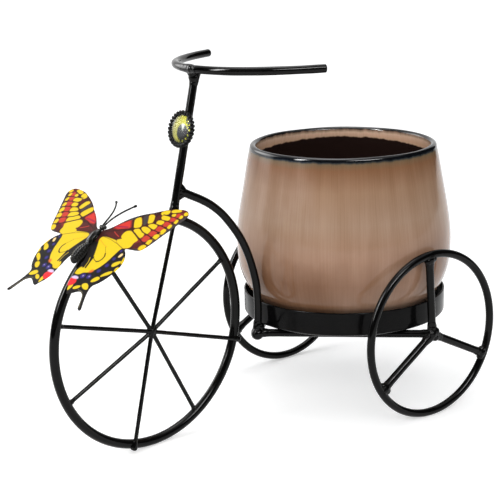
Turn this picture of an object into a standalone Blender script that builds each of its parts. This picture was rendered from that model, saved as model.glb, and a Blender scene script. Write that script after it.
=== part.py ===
"""Tricycle planter: a welded black wire tricycle that carries a glazed pot in a tray.

Metres, +Z up.  The tricycle runs along X with its front wheel towards -X, and it stands
on the plane z = 0.  The origin is on that plane, under the middle of the whole object.
"""

import math

import bpy
import bmesh
from mathutils import Matrix, Vector

# Clearance that touching pieces keep, and the length by which a cutter overruns
GAP = 0.0003
OVERRUN = 0.002

# Pot: a bulging glazed pot with a round lip and a low foot ring
POT_X = 0.1077
POT_BELLY_RADIUS = 0.0913
POT_HEIGHT = 0.1441
POT_WALL = 0.0056
POT_FLOOR = 0.0070
POT_FOOT_WIDTH = 0.0060
POT_FOOT_RECESS = 0.0015
# Outer wall of the pot: share of its height, share of its belly radius
POT_WALL_SHARES = (
    (0.0, 0.705), (0.020, 0.745), (0.058, 0.800), (0.114, 0.866), (0.169, 0.923), (0.225, 0.960),
    (0.287, 0.985), (0.364, 0.998), (0.447, 1.0), (0.530, 0.990), (0.627, 0.967), (0.725, 0.939),
    (0.829, 0.910), (0.912, 0.886), (0.980, 0.864),
)

# Tray: a pressed steel dish that is welded on the two base bars, a little narrower than the pot
TRAY_SET_IN = 0.0049
TRAY_RADIUS = POT_BELLY_RADIUS - TRAY_SET_IN
TRAY_HEIGHT = 0.0205
TRAY_WALL = 0.0015
TRAY_CORNER_WIDTH = 0.0060
TRAY_CORNER_HEIGHT = 0.0030

# Rods of the tricycle
ROD_RADIUS = 0.0030
FRONT_ROD_RADIUS = 0.0035
WIRE_RADIUS = 0.0014
WELD_REACH = 0.0070
# How much wider a rod is inside its weld than beside it
WELD_SWELL_SHARE = 1.30

# Rear wheels
REAR_RIM_RADIUS = 0.0675
REAR_WHEEL_CLEARANCE = 0.0029
REAR_HUB_RADIUS = 0.0054
AXLE_BEHIND_POT = 0.0119
REAR_SPOKES = 3
NEAR_WHEEL_TURN = math.radians(93.5)
FAR_WHEEL_TURN = math.radians(89.0)

# Base bars and backbone
FOOT_CLEARANCE = 0.0034
FOOT_WELD_RADIUS = 0.0055
BACKBONE_SEAT = 0.0180
BACKBONE_SWELL_SHARE = 1.9
BACKBONE_SWELL_REACH = 0.0092
# Backbone: share of its run back from the stem, share of its drop to the foot
BACKBONE_SHARES = (
    (0.0, 0.0), (0.070, 0.009), (0.154, 0.033), (0.297, 0.073), (0.433, 0.121), (0.587, 0.198),
    (0.743, 0.309), (0.835, 0.396), (0.904, 0.484), (0.959, 0.583), (0.998, 0.682), (1.014, 0.785),
    (1.015, 0.866), (1.008, 0.944), (1.0, 1.0),
)

# Front wheel
FRONT_RIM_RADIUS = 0.0904
FRONT_RIM_CLEARANCE = 0.0118
FRONT_WHEEL_YAW = math.radians(5.56)
FRONT_HUB_DISH = 0.0027
FRONT_HUB_RISE = 0.0007
FRONT_HUB_RADIUS = 0.0042
# Directions of the eight spokes in degrees, which are spaced by eye
FRONT_SPOKE_DIRECTIONS = (71.0, 121.3, 164.2, 205.7, 255.5, 299.1, 343.5, 389.7)

# Stem and handlebar
STEM_FOOT_ANGLE = math.radians(72.3)
STEM_RAKE = math.radians(14.0)
STEM_LENGTH = 0.1134
STEM_HEAD_WELD_RADIUS = 0.0046
HANDLE_HALF_WIDTH = 0.0770
HANDLE_SWEEP = 0.0725
# Handlebar: share of its half width, share of its sweep back
HANDLE_SHARES = (
    (0.0, 0.0), (0.130, 0.013), (0.260, 0.050), (0.390, 0.108), (0.520, 0.194), (0.640, 0.316),
    (0.750, 0.462), (0.840, 0.612), (0.920, 0.782), (1.0, 1.0),
)

# Headlamp: a crimped metal bezel with a printed disc under a glass dome
LAMP_SEAT = 0.0668
LAMP_RADIUS = 0.0143
LAMP_SCALLOP = 0.0005
LAMP_SCALLOPS = 24
LAMP_BEZEL_DEPTH = 0.0040
LAMP_BEZEL_WALL = 0.0024
LAMP_BACK_THICKNESS = 0.0010
LAMP_PRINT_THICKNESS = 0.0004
LAMP_GLASS_EDGE = 0.0012
LAMP_DOME_HEIGHT = 0.0038

# Butterfly: a moulded body with sheet wings, held on the front rim by a magnet
BUTTERFLY_ANGLE = math.radians(123.3)
BUTTERFLY_PITCH = math.radians(0.9)
BUTTERFLY_YAW = math.radians(3.4)
BUTTERFLY_ROLL = math.radians(-2.6)
WING_DIHEDRAL = math.radians(-1.5)
MAGNET_RADIUS = 0.0030
MAGNET_THICKNESS = 0.0020
MAGNET_AHEAD = 0.0030
BELLY_DEPTH = 0.0009
BODY_LENGTH = 0.0348
BODY_FRONT = 0.0144
BODY_RADIUS = 0.0047
BODY_RIBS = 7
BODY_RIB_DEPTH = 0.00022
# Body from the neck to the tail: share of its length, share of its radius
BODY_SHARES = (
    (0.0, 0.0), (0.008, 0.34), (0.045, 0.56), (0.125, 0.74), (0.240, 0.80), (0.350, 0.75),
    (0.420, 0.57), (0.450, 0.53), (0.485, 0.62), (0.600, 0.88), (0.720, 1.0), (0.830, 0.97),
    (0.920, 0.78), (0.975, 0.46), (1.0, 0.0),
)
RIBS_START_SHARE = 0.50
RIBS_END_SHARE = 0.95
HEAD_RADIUS = 0.0020
HEAD_HALF_WIDTH = 0.0025
EYE_RADIUS = 0.0015
EYE_SPACING = 0.0041
WING_THICKNESS = 0.0006
WING_REACH = 0.0670
# Wing outline: shares of the wing's reach, ahead of the body's middle and out from it
WING_SHARES = (
    (0.205, 0.030), (0.257, 0.107), (0.310, 0.158), (0.396, 0.248), (0.475, 0.355), (0.545, 0.440),
    (0.604, 0.530), (0.657, 0.627), (0.704, 0.731), (0.724, 0.821), (0.734, 0.896), (0.725, 0.958),
    (0.687, 1.0), (0.627, 1.006), (0.537, 0.970), (0.442, 0.931), (0.328, 0.881), (0.209, 0.833),
    (0.127, 0.794), (0.084, 0.761), (0.066, 0.704), (0.060, 0.627), (0.048, 0.546), (0.0, 0.591),
    (-0.052, 0.630), (-0.112, 0.660), (-0.191, 0.670), (-0.261, 0.657), (-0.336, 0.637),
    (-0.403, 0.606), (-0.463, 0.567), (-0.510, 0.521), (-0.567, 0.516), (-0.657, 0.543),
    (-0.754, 0.588), (-0.828, 0.625), (-0.849, 0.616), (-0.836, 0.582), (-0.758, 0.546),
    (-0.672, 0.501), (-0.636, 0.455), (-0.627, 0.409), (-0.654, 0.355), (-0.690, 0.307),
    (-0.696, 0.272), (-0.657, 0.242), (-0.600, 0.197), (-0.546, 0.169), (-0.463, 0.155),
    (-0.358, 0.146), (-0.266, 0.140), (-0.167, 0.110), (-0.075, 0.070), (0.0, 0.040),
)
ANTENNA_RADIUS = 0.0005
ANTENNA_KNOB_SHARE = 2.0
ANTENNA_LENGTH = 0.0281
# Antenna: shares of its length, ahead of the head's middle, out from it and up
ANTENNA_SHARES = (
    (0.025, 0.028, 0.018), (0.185, 0.046, 0.014), (0.399, 0.082, -0.007), (0.648, 0.164, -0.043),
    (0.861, 0.285, -0.071), (1.025, 0.416, -0.085),
)

# Facets
ROD_SIDES_RESOLUTION = 3
WIRE_SIDES_RESOLUTION = 2
RIM_TUBE_SIDES = 10
FRONT_RIM_STEPS = 60
REAR_RIM_STEPS = 52
POT_STEPS = 48
BODY_STEPS = 12
BALL_STEPS = 12
BALL_RINGS = 8
CURVE_SAMPLES = 3
BODY_SAMPLES = 2
CORNER_SAMPLES = 3
DOME_SAMPLES = 5
LIP_SAMPLES = 6
MERGE = 0.00001

UP = Vector((0.0, 0.0, 1.0))

for leftover in list(bpy.data.objects):
    bpy.data.objects.remove(leftover, do_unlink=True)

planter = bpy.data.collections.new("tricycle_planter")
cutters = bpy.data.collections.new("cutters")
bpy.context.scene.collection.children.link(planter)
bpy.context.scene.collection.children.link(cutters)


def finish(name, colour, roughness, metallic, transmission=0.0):
    """A Principled material of one colour."""
    material = bpy.data.materials.new(name)
    material.use_nodes = True
    shader = material.node_tree.nodes["Principled BSDF"]
    shader.inputs["Base Color"].default_value = (*colour, 1.0)
    shader.inputs["Roughness"].default_value = roughness
    shader.inputs["Metallic"].default_value = metallic
    shader.inputs["Transmission Weight"].default_value = transmission
    return material


BLACK_PAINT = finish("black_gloss_paint", (0.012, 0.012, 0.013), 0.22, 0.3)
TAN_GLAZE = finish("tan_glaze", (0.42, 0.27, 0.18), 0.18, 0.0)
LAMP_METAL = finish("black_plated_metal", (0.02, 0.02, 0.022), 0.3, 0.8)
LAMP_YELLOW = finish("printed_yellow", (0.62, 0.60, 0.10), 0.4, 0.0)
LAMP_CLEAR = finish("clear_glass", (0.9, 0.92, 0.9), 0.03, 0.0, 1.0)
WING_PRINT = finish("printed_wing", (0.85, 0.62, 0.03), 0.35, 0.0)
BODY_PLASTIC = finish("black_plastic", (0.015, 0.015, 0.016), 0.4, 0.0)
MAGNET_STEEL = finish("plated_magnet", (0.45, 0.45, 0.45), 0.3, 1.0)


def keep(piece, material, parent=None):
    """Put a finished piece in the planter's collection, under its parent if it has one."""
    planter.objects.link(piece)
    piece.data.materials.append(material)
    piece.parent = parent
    return piece


def hide_as_cutter(piece, parent=None):
    """Keep a piece as a cutting shape only."""
    cutters.objects.link(piece)
    piece.hide_render = True
    piece.display_type = "WIRE"
    piece.parent = parent
    return piece


def cut(piece, *tools):
    """Cut the shapes of the tools out of a piece."""
    for tool in tools:
        modifier = piece.modifiers.new("cut_by_" + tool.name, "BOOLEAN")
        modifier.operation = "DIFFERENCE"
        modifier.object = tool


def soften(mesh):
    """Shade a mesh smooth, apart from its real edges."""
    mesh.shade_smooth()
    mesh.set_sharp_from_angle(angle=math.radians(40.0))


def smooth_path(points, samples=CURVE_SAMPLES):
    """Points along a smooth curve that goes through all the given points."""
    path = []
    last = len(points) - 1
    for index in range(last):
        before = points[max(index - 1, 0)]
        start = points[index]
        end = points[index + 1]
        after = points[min(index + 2, last)]
        for step in range(samples):
            t = step / samples
            path.append(0.5 * (2.0 * start + (end - before) * t
                               + (2.0 * before - 5.0 * start + 4.0 * end - after) * t ** 2
                               + (3.0 * start - before - 3.0 * end + after) * t ** 3))
    path.append(points[last])
    return path


def rod_curve(name, points, radius, swells=None, resolution=ROD_SIDES_RESOLUTION):
    """A round rod along points, with its radius multiplied by swells at each point."""
    curve = bpy.data.curves.new(name, "CURVE")
    curve.dimensions = "3D"
    curve.bevel_depth = radius
    curve.bevel_resolution = resolution
    curve.use_fill_caps = True
    spline = curve.splines.new("POLY")
    spline.points.add(len(points) - 1)
    for index, place in enumerate(points):
        spline.points[index].co = (*place, 1.0)
        spline.points[index].radius = swells[index] if swells else 1.0
    spline.use_smooth = True
    return bpy.data.objects.new(name, curve)


def as_mesh(curve_piece):
    """Turn a curve piece into a closed mesh piece that can be cut."""
    name = curve_piece.name
    curve_piece.name = name + "_curve"
    bpy.context.scene.collection.objects.link(curve_piece)
    depsgraph = bpy.context.evaluated_depsgraph_get()
    mesh = bpy.data.meshes.new_from_object(curve_piece.evaluated_get(depsgraph))
    work = bmesh.new()
    work.from_mesh(mesh)
    bmesh.ops.remove_doubles(work, verts=work.verts, dist=MERGE)
    work.to_mesh(mesh)
    work.free()
    mesh.name = name
    soften(mesh)
    solid = bpy.data.objects.new(name, mesh)
    solid.matrix_world = curve_piece.matrix_world
    bpy.data.objects.remove(curve_piece)
    return solid


def solid_rod(name, points, radius, swells=None, resolution=ROD_SIDES_RESOLUTION):
    return as_mesh(rod_curve(name, points, radius, swells, resolution))


def welded_rod_points(start, end, reach):
    """A straight rod's ends, and the places where its welds begin."""
    along = (end - start).normalized()
    return [start, start + along * reach, end - along * reach, end]


def ball(name, centre, radius, stretch=(1.0, 1.0, 1.0)):
    """A round lump of weld or plastic, stretched along its own axes."""
    work = bmesh.new()
    bmesh.ops.create_uvsphere(work, u_segments=BALL_STEPS, v_segments=BALL_RINGS, radius=radius)
    bmesh.ops.scale(work, vec=stretch, verts=work.verts)
    mesh = bpy.data.meshes.new(name)
    work.to_mesh(mesh)
    work.free()
    soften(mesh)
    piece = bpy.data.objects.new(name, mesh)
    piece.location = centre
    return piece


def ring(name, centre, radius, tube, steps, yaw=0.0):
    """A wheel rim: a torus that stands on edge and is turned about Z."""
    bpy.ops.mesh.primitive_torus_add(
        major_segments=steps, minor_segments=RIM_TUBE_SIDES, major_radius=radius,
        minor_radius=tube, location=centre, rotation=(math.pi / 2.0, 0.0, yaw))
    piece = bpy.context.object
    piece.name = name
    for owner in list(piece.users_collection):
        owner.objects.unlink(piece)
    piece.data.shade_smooth()
    return piece


def turned(name, profile, steps):
    """A turned piece from a profile of (radius, height) points that runs down its outside."""
    mesh = bpy.data.meshes.new(name)
    work = bmesh.new()
    corners = [work.verts.new((radius, 0.0, height)) for radius, height in profile]
    for first, second in zip(corners, corners[1:]):
        work.edges.new((first, second))
    work.to_mesh(mesh)
    work.free()
    piece = bpy.data.objects.new(name, mesh)
    screw = piece.modifiers.new("turn", "SCREW")
    screw.steps = steps
    screw.render_steps = steps
    screw.use_merge_vertices = True
    screw.merge_threshold = MERGE
    screw.use_smooth_shade = True
    return piece


def flat_sheet(name, outlines, thickness):
    """A flat piece in its own XY plane, from one outline and any holes in it."""
    curve = bpy.data.curves.new(name, "CURVE")
    curve.dimensions = "2D"
    curve.fill_mode = "BOTH"
    curve.extrude = thickness / 2.0
    for outline in outlines:
        spline = curve.splines.new("POLY")
        spline.points.add(len(outline) - 1)
        spline.use_cyclic_u = True
        for index, (across, along) in enumerate(outline):
            spline.points[index].co = (across, along, 0.0, 1.0)
    return bpy.data.objects.new(name, curve)


def circle_points(radius, count, lobes=0, lobe_height=0.0):
    """Points round a circle, scalloped if it has lobes."""
    points = []
    for step in range(count):
        turn = 2.0 * math.pi * step / count
        reach = radius + lobe_height * math.cos(lobes * turn)
        points.append((reach * math.cos(turn), reach * math.sin(turn)))
    return points


def seat(name, origin, x_axis, y_axis, z_axis):
    """An empty that carries a group of pieces in their own frame."""
    empty = bpy.data.objects.new(name, None)
    planter.objects.link(empty)
    turn = Matrix((x_axis, y_axis, z_axis)).transposed().to_4x4()
    empty.matrix_world = Matrix.Translation(origin) @ turn
    bpy.context.view_layer.update()
    return empty


# Places that the pieces share
rear_hub_height = REAR_RIM_RADIUS + ROD_RADIUS
rear_hub_x = POT_X + AXLE_BEHIND_POT
rear_hub_y = POT_BELLY_RADIUS + REAR_WHEEL_CLEARANCE + ROD_RADIUS
foot = Vector((POT_X - POT_BELLY_RADIUS - FOOT_CLEARANCE, 0.0, rear_hub_height))
front_rim_reach = FRONT_RIM_RADIUS + FRONT_ROD_RADIUS
front_centre = Vector((foot.x - FRONT_RIM_CLEARANCE - front_rim_reach, 0.0, front_rim_reach))
wheel_back = Vector((math.cos(FRONT_WHEEL_YAW), math.sin(FRONT_WHEEL_YAW), 0.0))
wheel_side = Vector((-math.sin(FRONT_WHEEL_YAW), math.cos(FRONT_WHEEL_YAW), 0.0))
front_hub = front_centre - wheel_side * FRONT_HUB_DISH + UP * FRONT_HUB_RISE


def on_front_wheel(angle, radius):
    """A point in the plane of the front wheel, from the wheel's centre."""
    return front_centre + wheel_back * (radius * math.cos(angle)) + UP * (radius * math.sin(angle))


# Front wheel: a closed ring of rod with eight wires welded between it and the hub
front_rim = ring("front_rim", front_centre, FRONT_RIM_RADIUS, FRONT_ROD_RADIUS,
                 FRONT_RIM_STEPS, FRONT_WHEEL_YAW)
keep(front_rim, BLACK_PAINT)
front_rim_room = hide_as_cutter(ring("front_rim_room", front_centre, FRONT_RIM_RADIUS,
                                     FRONT_ROD_RADIUS + GAP, FRONT_RIM_STEPS, FRONT_WHEEL_YAW))
keep(ball("front_hub_weld", front_hub, FRONT_HUB_RADIUS), BLACK_PAINT)
front_hub_room = hide_as_cutter(ball("front_hub_room", front_hub, FRONT_HUB_RADIUS + GAP))
weld_swells = (WELD_SWELL_SHARE, 1.0, 1.0, WELD_SWELL_SHARE)
for number, direction in enumerate(FRONT_SPOKE_DIRECTIONS):
    tip = on_front_wheel(math.radians(direction), FRONT_RIM_RADIUS)
    spoke = solid_rod(f"front_spoke_{number + 1}", welded_rod_points(front_hub, tip, WELD_REACH),
                      WIRE_RADIUS, weld_swells, WIRE_SIDES_RESOLUTION)
    keep(spoke, BLACK_PAINT)
    cut(spoke, front_hub_room, front_rim_room)

# Rear wheels: a closed ring of rod with three rod spokes on each side of the pot
hub_rooms = {}
bar_side_rooms = {}
for side, sign, wheel_turn in (("near", -1.0, NEAR_WHEEL_TURN), ("far", 1.0, FAR_WHEEL_TURN)):
    hub = Vector((rear_hub_x, sign * rear_hub_y, rear_hub_height))
    keep(ring(f"rear_rim_{side}", hub, REAR_RIM_RADIUS, ROD_RADIUS, REAR_RIM_STEPS), BLACK_PAINT)
    rim_room = hide_as_cutter(ring(f"rear_rim_room_{side}", hub, REAR_RIM_RADIUS,
                                   ROD_RADIUS + GAP, REAR_RIM_STEPS))
    keep(ball(f"rear_hub_weld_{side}", hub, REAR_HUB_RADIUS), BLACK_PAINT)
    hub_rooms[side] = hide_as_cutter(ball(f"rear_hub_room_{side}", hub, REAR_HUB_RADIUS + GAP))
    for number in range(REAR_SPOKES):
        angle = wheel_turn + 2.0 * math.pi * number / REAR_SPOKES
        tip = hub + Vector((math.cos(angle), 0.0, math.sin(angle))) * REAR_RIM_RADIUS
        stops = welded_rod_points(hub, tip, WELD_REACH)
        spoke = solid_rod(f"rear_spoke_{side}_{number + 1}", stops, ROD_RADIUS, weld_swells)
        keep(spoke, BLACK_PAINT)
        cut(spoke, hub_rooms[side], rim_room)
        if tip.x < hub.x and tip.z < hub.z:
            room = solid_rod(f"spoke_room_{side}", stops, ROD_RADIUS + GAP, weld_swells)
            bar_side_rooms[side] = hide_as_cutter(room)

# Base: two straight bars from the foot of the backbone to the rear hubs
keep(ball("backbone_foot_weld", foot, FOOT_WELD_RADIUS), BLACK_PAINT)
foot_room = hide_as_cutter(ball("foot_room", foot, FOOT_WELD_RADIUS + GAP))
for side, sign in (("near", -1.0), ("far", 1.0)):
    hub = Vector((rear_hub_x, sign * rear_hub_y, rear_hub_height))
    bar = solid_rod(f"base_bar_{side}", welded_rod_points(foot, hub, WELD_REACH), ROD_RADIUS)
    keep(bar, BLACK_PAINT)
    cut(bar, foot_room, hub_rooms[side], bar_side_rooms[side])

# Stem: a raked rod that is welded on top of the front rim
stem_axis = wheel_back * math.sin(STEM_RAKE) + UP * math.cos(STEM_RAKE)
stem_front = wheel_back * -math.cos(STEM_RAKE) + UP * math.sin(STEM_RAKE)
stem_foot = on_front_wheel(STEM_FOOT_ANGLE, FRONT_RIM_RADIUS)
stem_base = on_front_wheel(STEM_FOOT_ANGLE, front_rim_reach)
stem_top = stem_base + stem_axis * STEM_LENGTH
stem = solid_rod("stem", welded_rod_points(stem_foot, stem_top, 2.0 * WELD_REACH), ROD_RADIUS,
                 (WELD_SWELL_SHARE, 1.0, 1.0, 1.0))
keep(stem, BLACK_PAINT)
stem_room = hide_as_cutter(solid_rod("stem_room", [stem_base, stem_top + stem_axis * OVERRUN],
                                     ROD_RADIUS + GAP))

# Handlebar: one bent rod square to the tricycle, welded to the front of the stem's head
handle_centre = stem_top + stem_front * (2.0 * ROD_RADIUS + GAP)


def handle_point(side, share):
    across, back = share
    return handle_centre + Vector((HANDLE_SWEEP * back, side * HANDLE_HALF_WIDTH * across, 0.0))


handle_path = ([handle_point(-1.0, share) for share in reversed(HANDLE_SHARES)]
               + [handle_point(1.0, share) for share in HANDLE_SHARES[1:]])
keep(rod_curve("handlebar", smooth_path(handle_path), ROD_RADIUS), BLACK_PAINT)
handle_room = hide_as_cutter(solid_rod("handle_room", smooth_path(handle_path), ROD_RADIUS + GAP))
head_centre = stem_top - stem_axis * (STEM_HEAD_WELD_RADIUS - ROD_RADIUS)
head_weld = ball("stem_head_weld", head_centre, STEM_HEAD_WELD_RADIUS)
keep(head_weld, BLACK_PAINT)
cut(head_weld, handle_room)
head_room = hide_as_cutter(ball("head_room", head_centre, STEM_HEAD_WELD_RADIUS + GAP))
cut(stem, front_rim_room, head_room)

# Backbone: one bent rod from the back of the stem down to the foot
backbone_start = stem_base + stem_axis * BACKBONE_SEAT
backbone_run = foot - backbone_start
backbone_stops = []
for run_share, drop_share in BACKBONE_SHARES:
    backbone_stops.append(Vector((backbone_start.x + backbone_run.x * run_share,
                                  backbone_start.y + backbone_run.y * run_share,
                                  backbone_start.z + backbone_run.z * drop_share)))
backbone_path = smooth_path(backbone_stops)
backbone_swells = []
for place in backbone_path:
    distance = (place - backbone_start).length
    fade = max(0.0, 1.0 - distance / BACKBONE_SWELL_REACH)
    backbone_swells.append(1.0 + (BACKBONE_SWELL_SHARE - 1.0) * fade)
backbone = solid_rod("backbone", backbone_path, ROD_RADIUS, backbone_swells)
keep(backbone, BLACK_PAINT)
cut(backbone, stem_room, foot_room)

# Tray: a turned dish with a rounded lower corner
tray_base = rear_hub_height + ROD_RADIUS + GAP


def corner(radius, bottom):
    """A rounded lower corner of the tray, from the wall down to the flat."""
    points = []
    for step in range(CORNER_SAMPLES + 1):
        turn = 0.5 * math.pi * step / CORNER_SAMPLES
        points.append((radius - TRAY_CORNER_WIDTH * (1.0 - math.cos(turn)),
                       bottom + TRAY_CORNER_HEIGHT * (1.0 - math.sin(turn))))
    return points


inner_corner = corner(TRAY_RADIUS - TRAY_WALL, TRAY_WALL)
outer_corner = corner(TRAY_RADIUS, 0.0)
tray_profile = [(0.0, TRAY_WALL)] + inner_corner[::-1]
tray_profile.append((TRAY_RADIUS - TRAY_WALL, TRAY_HEIGHT - TRAY_WALL / 2.0))
tray_profile.append((TRAY_RADIUS - TRAY_WALL / 2.0, TRAY_HEIGHT))
tray_profile.append((TRAY_RADIUS, TRAY_HEIGHT - TRAY_WALL / 2.0))
tray_profile += outer_corner
tray_profile.append((0.0, 0.0))
tray = turned("tray", tray_profile, POT_STEPS)
tray.location = (POT_X, 0.0, tray_base)
keep(tray, BLACK_PAINT)

# Pot: its inside, its round lip, its outside and its foot, as one profile
pot_base = tray_base + TRAY_WALL + GAP
outer_wall = [(POT_BELLY_RADIUS * reach, POT_HEIGHT * height) for height, reach in POT_WALL_SHARES]
lip_radius = POT_WALL / 2.0
lip_outer = outer_wall[-1][0]
pot_profile = [(0.0, POT_FLOOR)]
inner_floor = []
for reach, height in outer_wall:
    if height > POT_FLOOR + POT_WALL / 2.0:
        inner_floor.append((reach - POT_WALL, height))
floor_edge = inner_floor[0][0] - POT_WALL
pot_profile.append((floor_edge, POT_FLOOR))
pot_profile += inner_floor[:-1]
lip_centre_height = POT_HEIGHT - lip_radius
for step in range(LIP_SAMPLES + 1):
    turn = math.pi * (1.0 - step / LIP_SAMPLES)
    pot_profile.append((lip_outer - lip_radius + lip_radius * math.cos(turn),
                        lip_centre_height + lip_radius * math.sin(turn)))
pot_profile += outer_wall[-2::-1]
pot_profile.append((outer_wall[0][0] - POT_FOOT_WIDTH, 0.0))
pot_profile.append((outer_wall[0][0] - POT_FOOT_WIDTH - POT_FOOT_RECESS, POT_FOOT_RECESS))
pot_profile.append((0.0, POT_FOOT_RECESS))
pot = turned("pot", pot_profile, POT_STEPS)
pot.location = (POT_X, 0.0, pot_base)
keep(pot, TAN_GLAZE)

# Headlamp, in the frame of the stem: X across, Y up the stem, Z forward
lamp_centre = stem_base + stem_axis * LAMP_SEAT
lamp_seat = seat("headlamp_seat", lamp_centre, stem_axis.cross(stem_front), stem_axis, stem_front)
lamp_inner = LAMP_RADIUS - LAMP_BEZEL_WALL
lamp_back_z = ROD_RADIUS + GAP
bezel_outer = circle_points(LAMP_RADIUS, 6 * LAMP_SCALLOPS, LAMP_SCALLOPS, LAMP_SCALLOP)
bezel_inner = circle_points(lamp_inner, 2 * LAMP_SCALLOPS)
bezel = flat_sheet("headlamp_bezel", [bezel_outer, bezel_inner], LAMP_BEZEL_DEPTH)
bezel.location = (0.0, 0.0, lamp_back_z + LAMP_BEZEL_DEPTH / 2.0)
keep(bezel, LAMP_METAL, lamp_seat)
lamp_fit = lamp_inner - GAP
back_plate = flat_sheet("headlamp_back_plate", [circle_points(lamp_fit, 2 * LAMP_SCALLOPS)],
                        LAMP_BACK_THICKNESS)
back_plate.location = (0.0, 0.0, lamp_back_z + LAMP_BACK_THICKNESS / 2.0)
keep(back_plate, LAMP_METAL, lamp_seat)
print_z = lamp_back_z + LAMP_BACK_THICKNESS + GAP
lamp_print = flat_sheet("headlamp_print", [circle_points(lamp_fit, 2 * LAMP_SCALLOPS)],
                        LAMP_PRINT_THICKNESS)
lamp_print.location = (0.0, 0.0, print_z + LAMP_PRINT_THICKNESS / 2.0)
keep(lamp_print, LAMP_YELLOW, lamp_seat)
glass_profile = []
for step in range(DOME_SAMPLES + 1):
    turn = 0.5 * math.pi * step / DOME_SAMPLES
    glass_profile.append((lamp_fit * math.sin(turn), LAMP_GLASS_EDGE + LAMP_DOME_HEIGHT * math.cos(turn)))
glass_profile += [(lamp_fit, 0.0), (0.0, 0.0)]
glass = turned("headlamp_glass", glass_profile, 2 * LAMP_SCALLOPS)
glass.location = (0.0, 0.0, print_z + LAMP_PRINT_THICKNESS + GAP)
keep(glass, LAMP_CLEAR, lamp_seat)

# Butterfly, in its own frame: X ahead towards its head, Y to the far side, Z away from the rim
body_height = BELLY_DEPTH + GAP + MAGNET_THICKNESS + GAP
butterfly_centre = on_front_wheel(BUTTERFLY_ANGLE, front_rim_reach + body_height)
heading_angle = BUTTERFLY_ANGLE - math.pi / 2.0 + BUTTERFLY_PITCH
heading = wheel_back * math.cos(heading_angle) + UP * math.sin(heading_angle)
rising = wheel_back * -math.sin(heading_angle) + UP * math.cos(heading_angle)
ahead = heading * math.cos(BUTTERFLY_YAW) + wheel_side * math.sin(BUTTERFLY_YAW)
level_side = wheel_side * math.cos(BUTTERFLY_YAW) - heading * math.sin(BUTTERFLY_YAW)
upward = rising * math.cos(BUTTERFLY_ROLL) + level_side * math.sin(BUTTERFLY_ROLL)
sideways = level_side * math.cos(BUTTERFLY_ROLL) - rising * math.sin(BUTTERFLY_ROLL)
butterfly_seat = seat("butterfly_seat", butterfly_centre, ahead, sideways, upward)
lie_along = Matrix.Rotation(math.pi / 2.0, 4, "Y")


def body_profile(clearance):
    """The body's outline from neck to tail, grown all round by a clearance."""
    half = BODY_LENGTH / 2.0 + clearance
    stops = [Vector((radius, share, 0.0)) for share, radius in BODY_SHARES]
    points = []
    for place in smooth_path(stops, BODY_SAMPLES):
        radius = max(0.0, place.x) * BODY_RADIUS
        share = place.y
        if RIBS_START_SHARE < share < RIBS_END_SHARE:
            wave = (share - RIBS_START_SHARE) / (RIBS_END_SHARE - RIBS_START_SHARE)
            radius += BODY_RIB_DEPTH * math.cos(2.0 * math.pi * BODY_RIBS * wave)
        if 0.0 < share < 1.0:
            radius += clearance
        points.append((radius, half - 2.0 * half * share))
    return points


def lay_body(piece):
    """Turn a piece that was turned about Z so that it lies along the butterfly's X."""
    piece.matrix_local = Matrix.Translation((BODY_FRONT - BODY_LENGTH / 2.0, 0.0, 0.0)) @ lie_along


body = turned("butterfly_body", body_profile(0.0), BODY_STEPS)
keep(body, BODY_PLASTIC, butterfly_seat)
lay_body(body)
body_room = hide_as_cutter(turned("body_room", body_profile(GAP), BODY_STEPS), butterfly_seat)
lay_body(body_room)
belly_block = bmesh.new()
bmesh.ops.create_cube(belly_block, size=1.0)
bmesh.ops.scale(belly_block, vec=(2.0 * BODY_LENGTH, 4.0 * BODY_RADIUS, 2.0 * BODY_RADIUS),
                verts=belly_block.verts)
belly_mesh = bpy.data.meshes.new("belly_room")
belly_block.to_mesh(belly_mesh)
belly_block.free()
belly_room = bpy.data.objects.new("belly_room", belly_mesh)
hide_as_cutter(belly_room, butterfly_seat)
belly_room.location = (0.0, 0.0, -BELLY_DEPTH - BODY_RADIUS)
cut(body, belly_room)

head_x = BODY_FRONT + GAP + HEAD_RADIUS
head_stretch = (1.0, HEAD_HALF_WIDTH / HEAD_RADIUS, 1.0)


def eye(name, side, clearance):
    return ball(name, (head_x + EYE_RADIUS / 2.0, side * EYE_SPACING / 2.0, 0.0), EYE_RADIUS + clearance)


def join(piece, tool):
    """Fuse a hidden shape with a piece, as one moulding."""
    modifier = piece.modifiers.new("join_" + tool.name, "BOOLEAN")
    modifier.operation = "UNION"
    modifier.object = tool


head = ball("butterfly_head", (head_x, 0.0, 0.0), HEAD_RADIUS, head_stretch)
keep(head, BODY_PLASTIC, butterfly_seat)
head_space = ball("head_space", (head_x, 0.0, 0.0), HEAD_RADIUS + GAP, head_stretch)
hide_as_cutter(head_space, butterfly_seat)
eye_spaces = []
for side, sign in (("near", -1.0), ("far", 1.0)):
    join(head, hide_as_cutter(eye(f"eye_{side}", sign, 0.0), butterfly_seat))
    eye_spaces.append(hide_as_cutter(eye(f"eye_space_{side}", sign, GAP), butterfly_seat))

magnet = flat_sheet("butterfly_magnet", [circle_points(MAGNET_RADIUS, 2 * BODY_STEPS)], MAGNET_THICKNESS)
magnet.location = (MAGNET_AHEAD, 0.0, -BELLY_DEPTH - GAP - MAGNET_THICKNESS / 2.0)
keep(magnet, MAGNET_STEEL, butterfly_seat)

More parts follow.
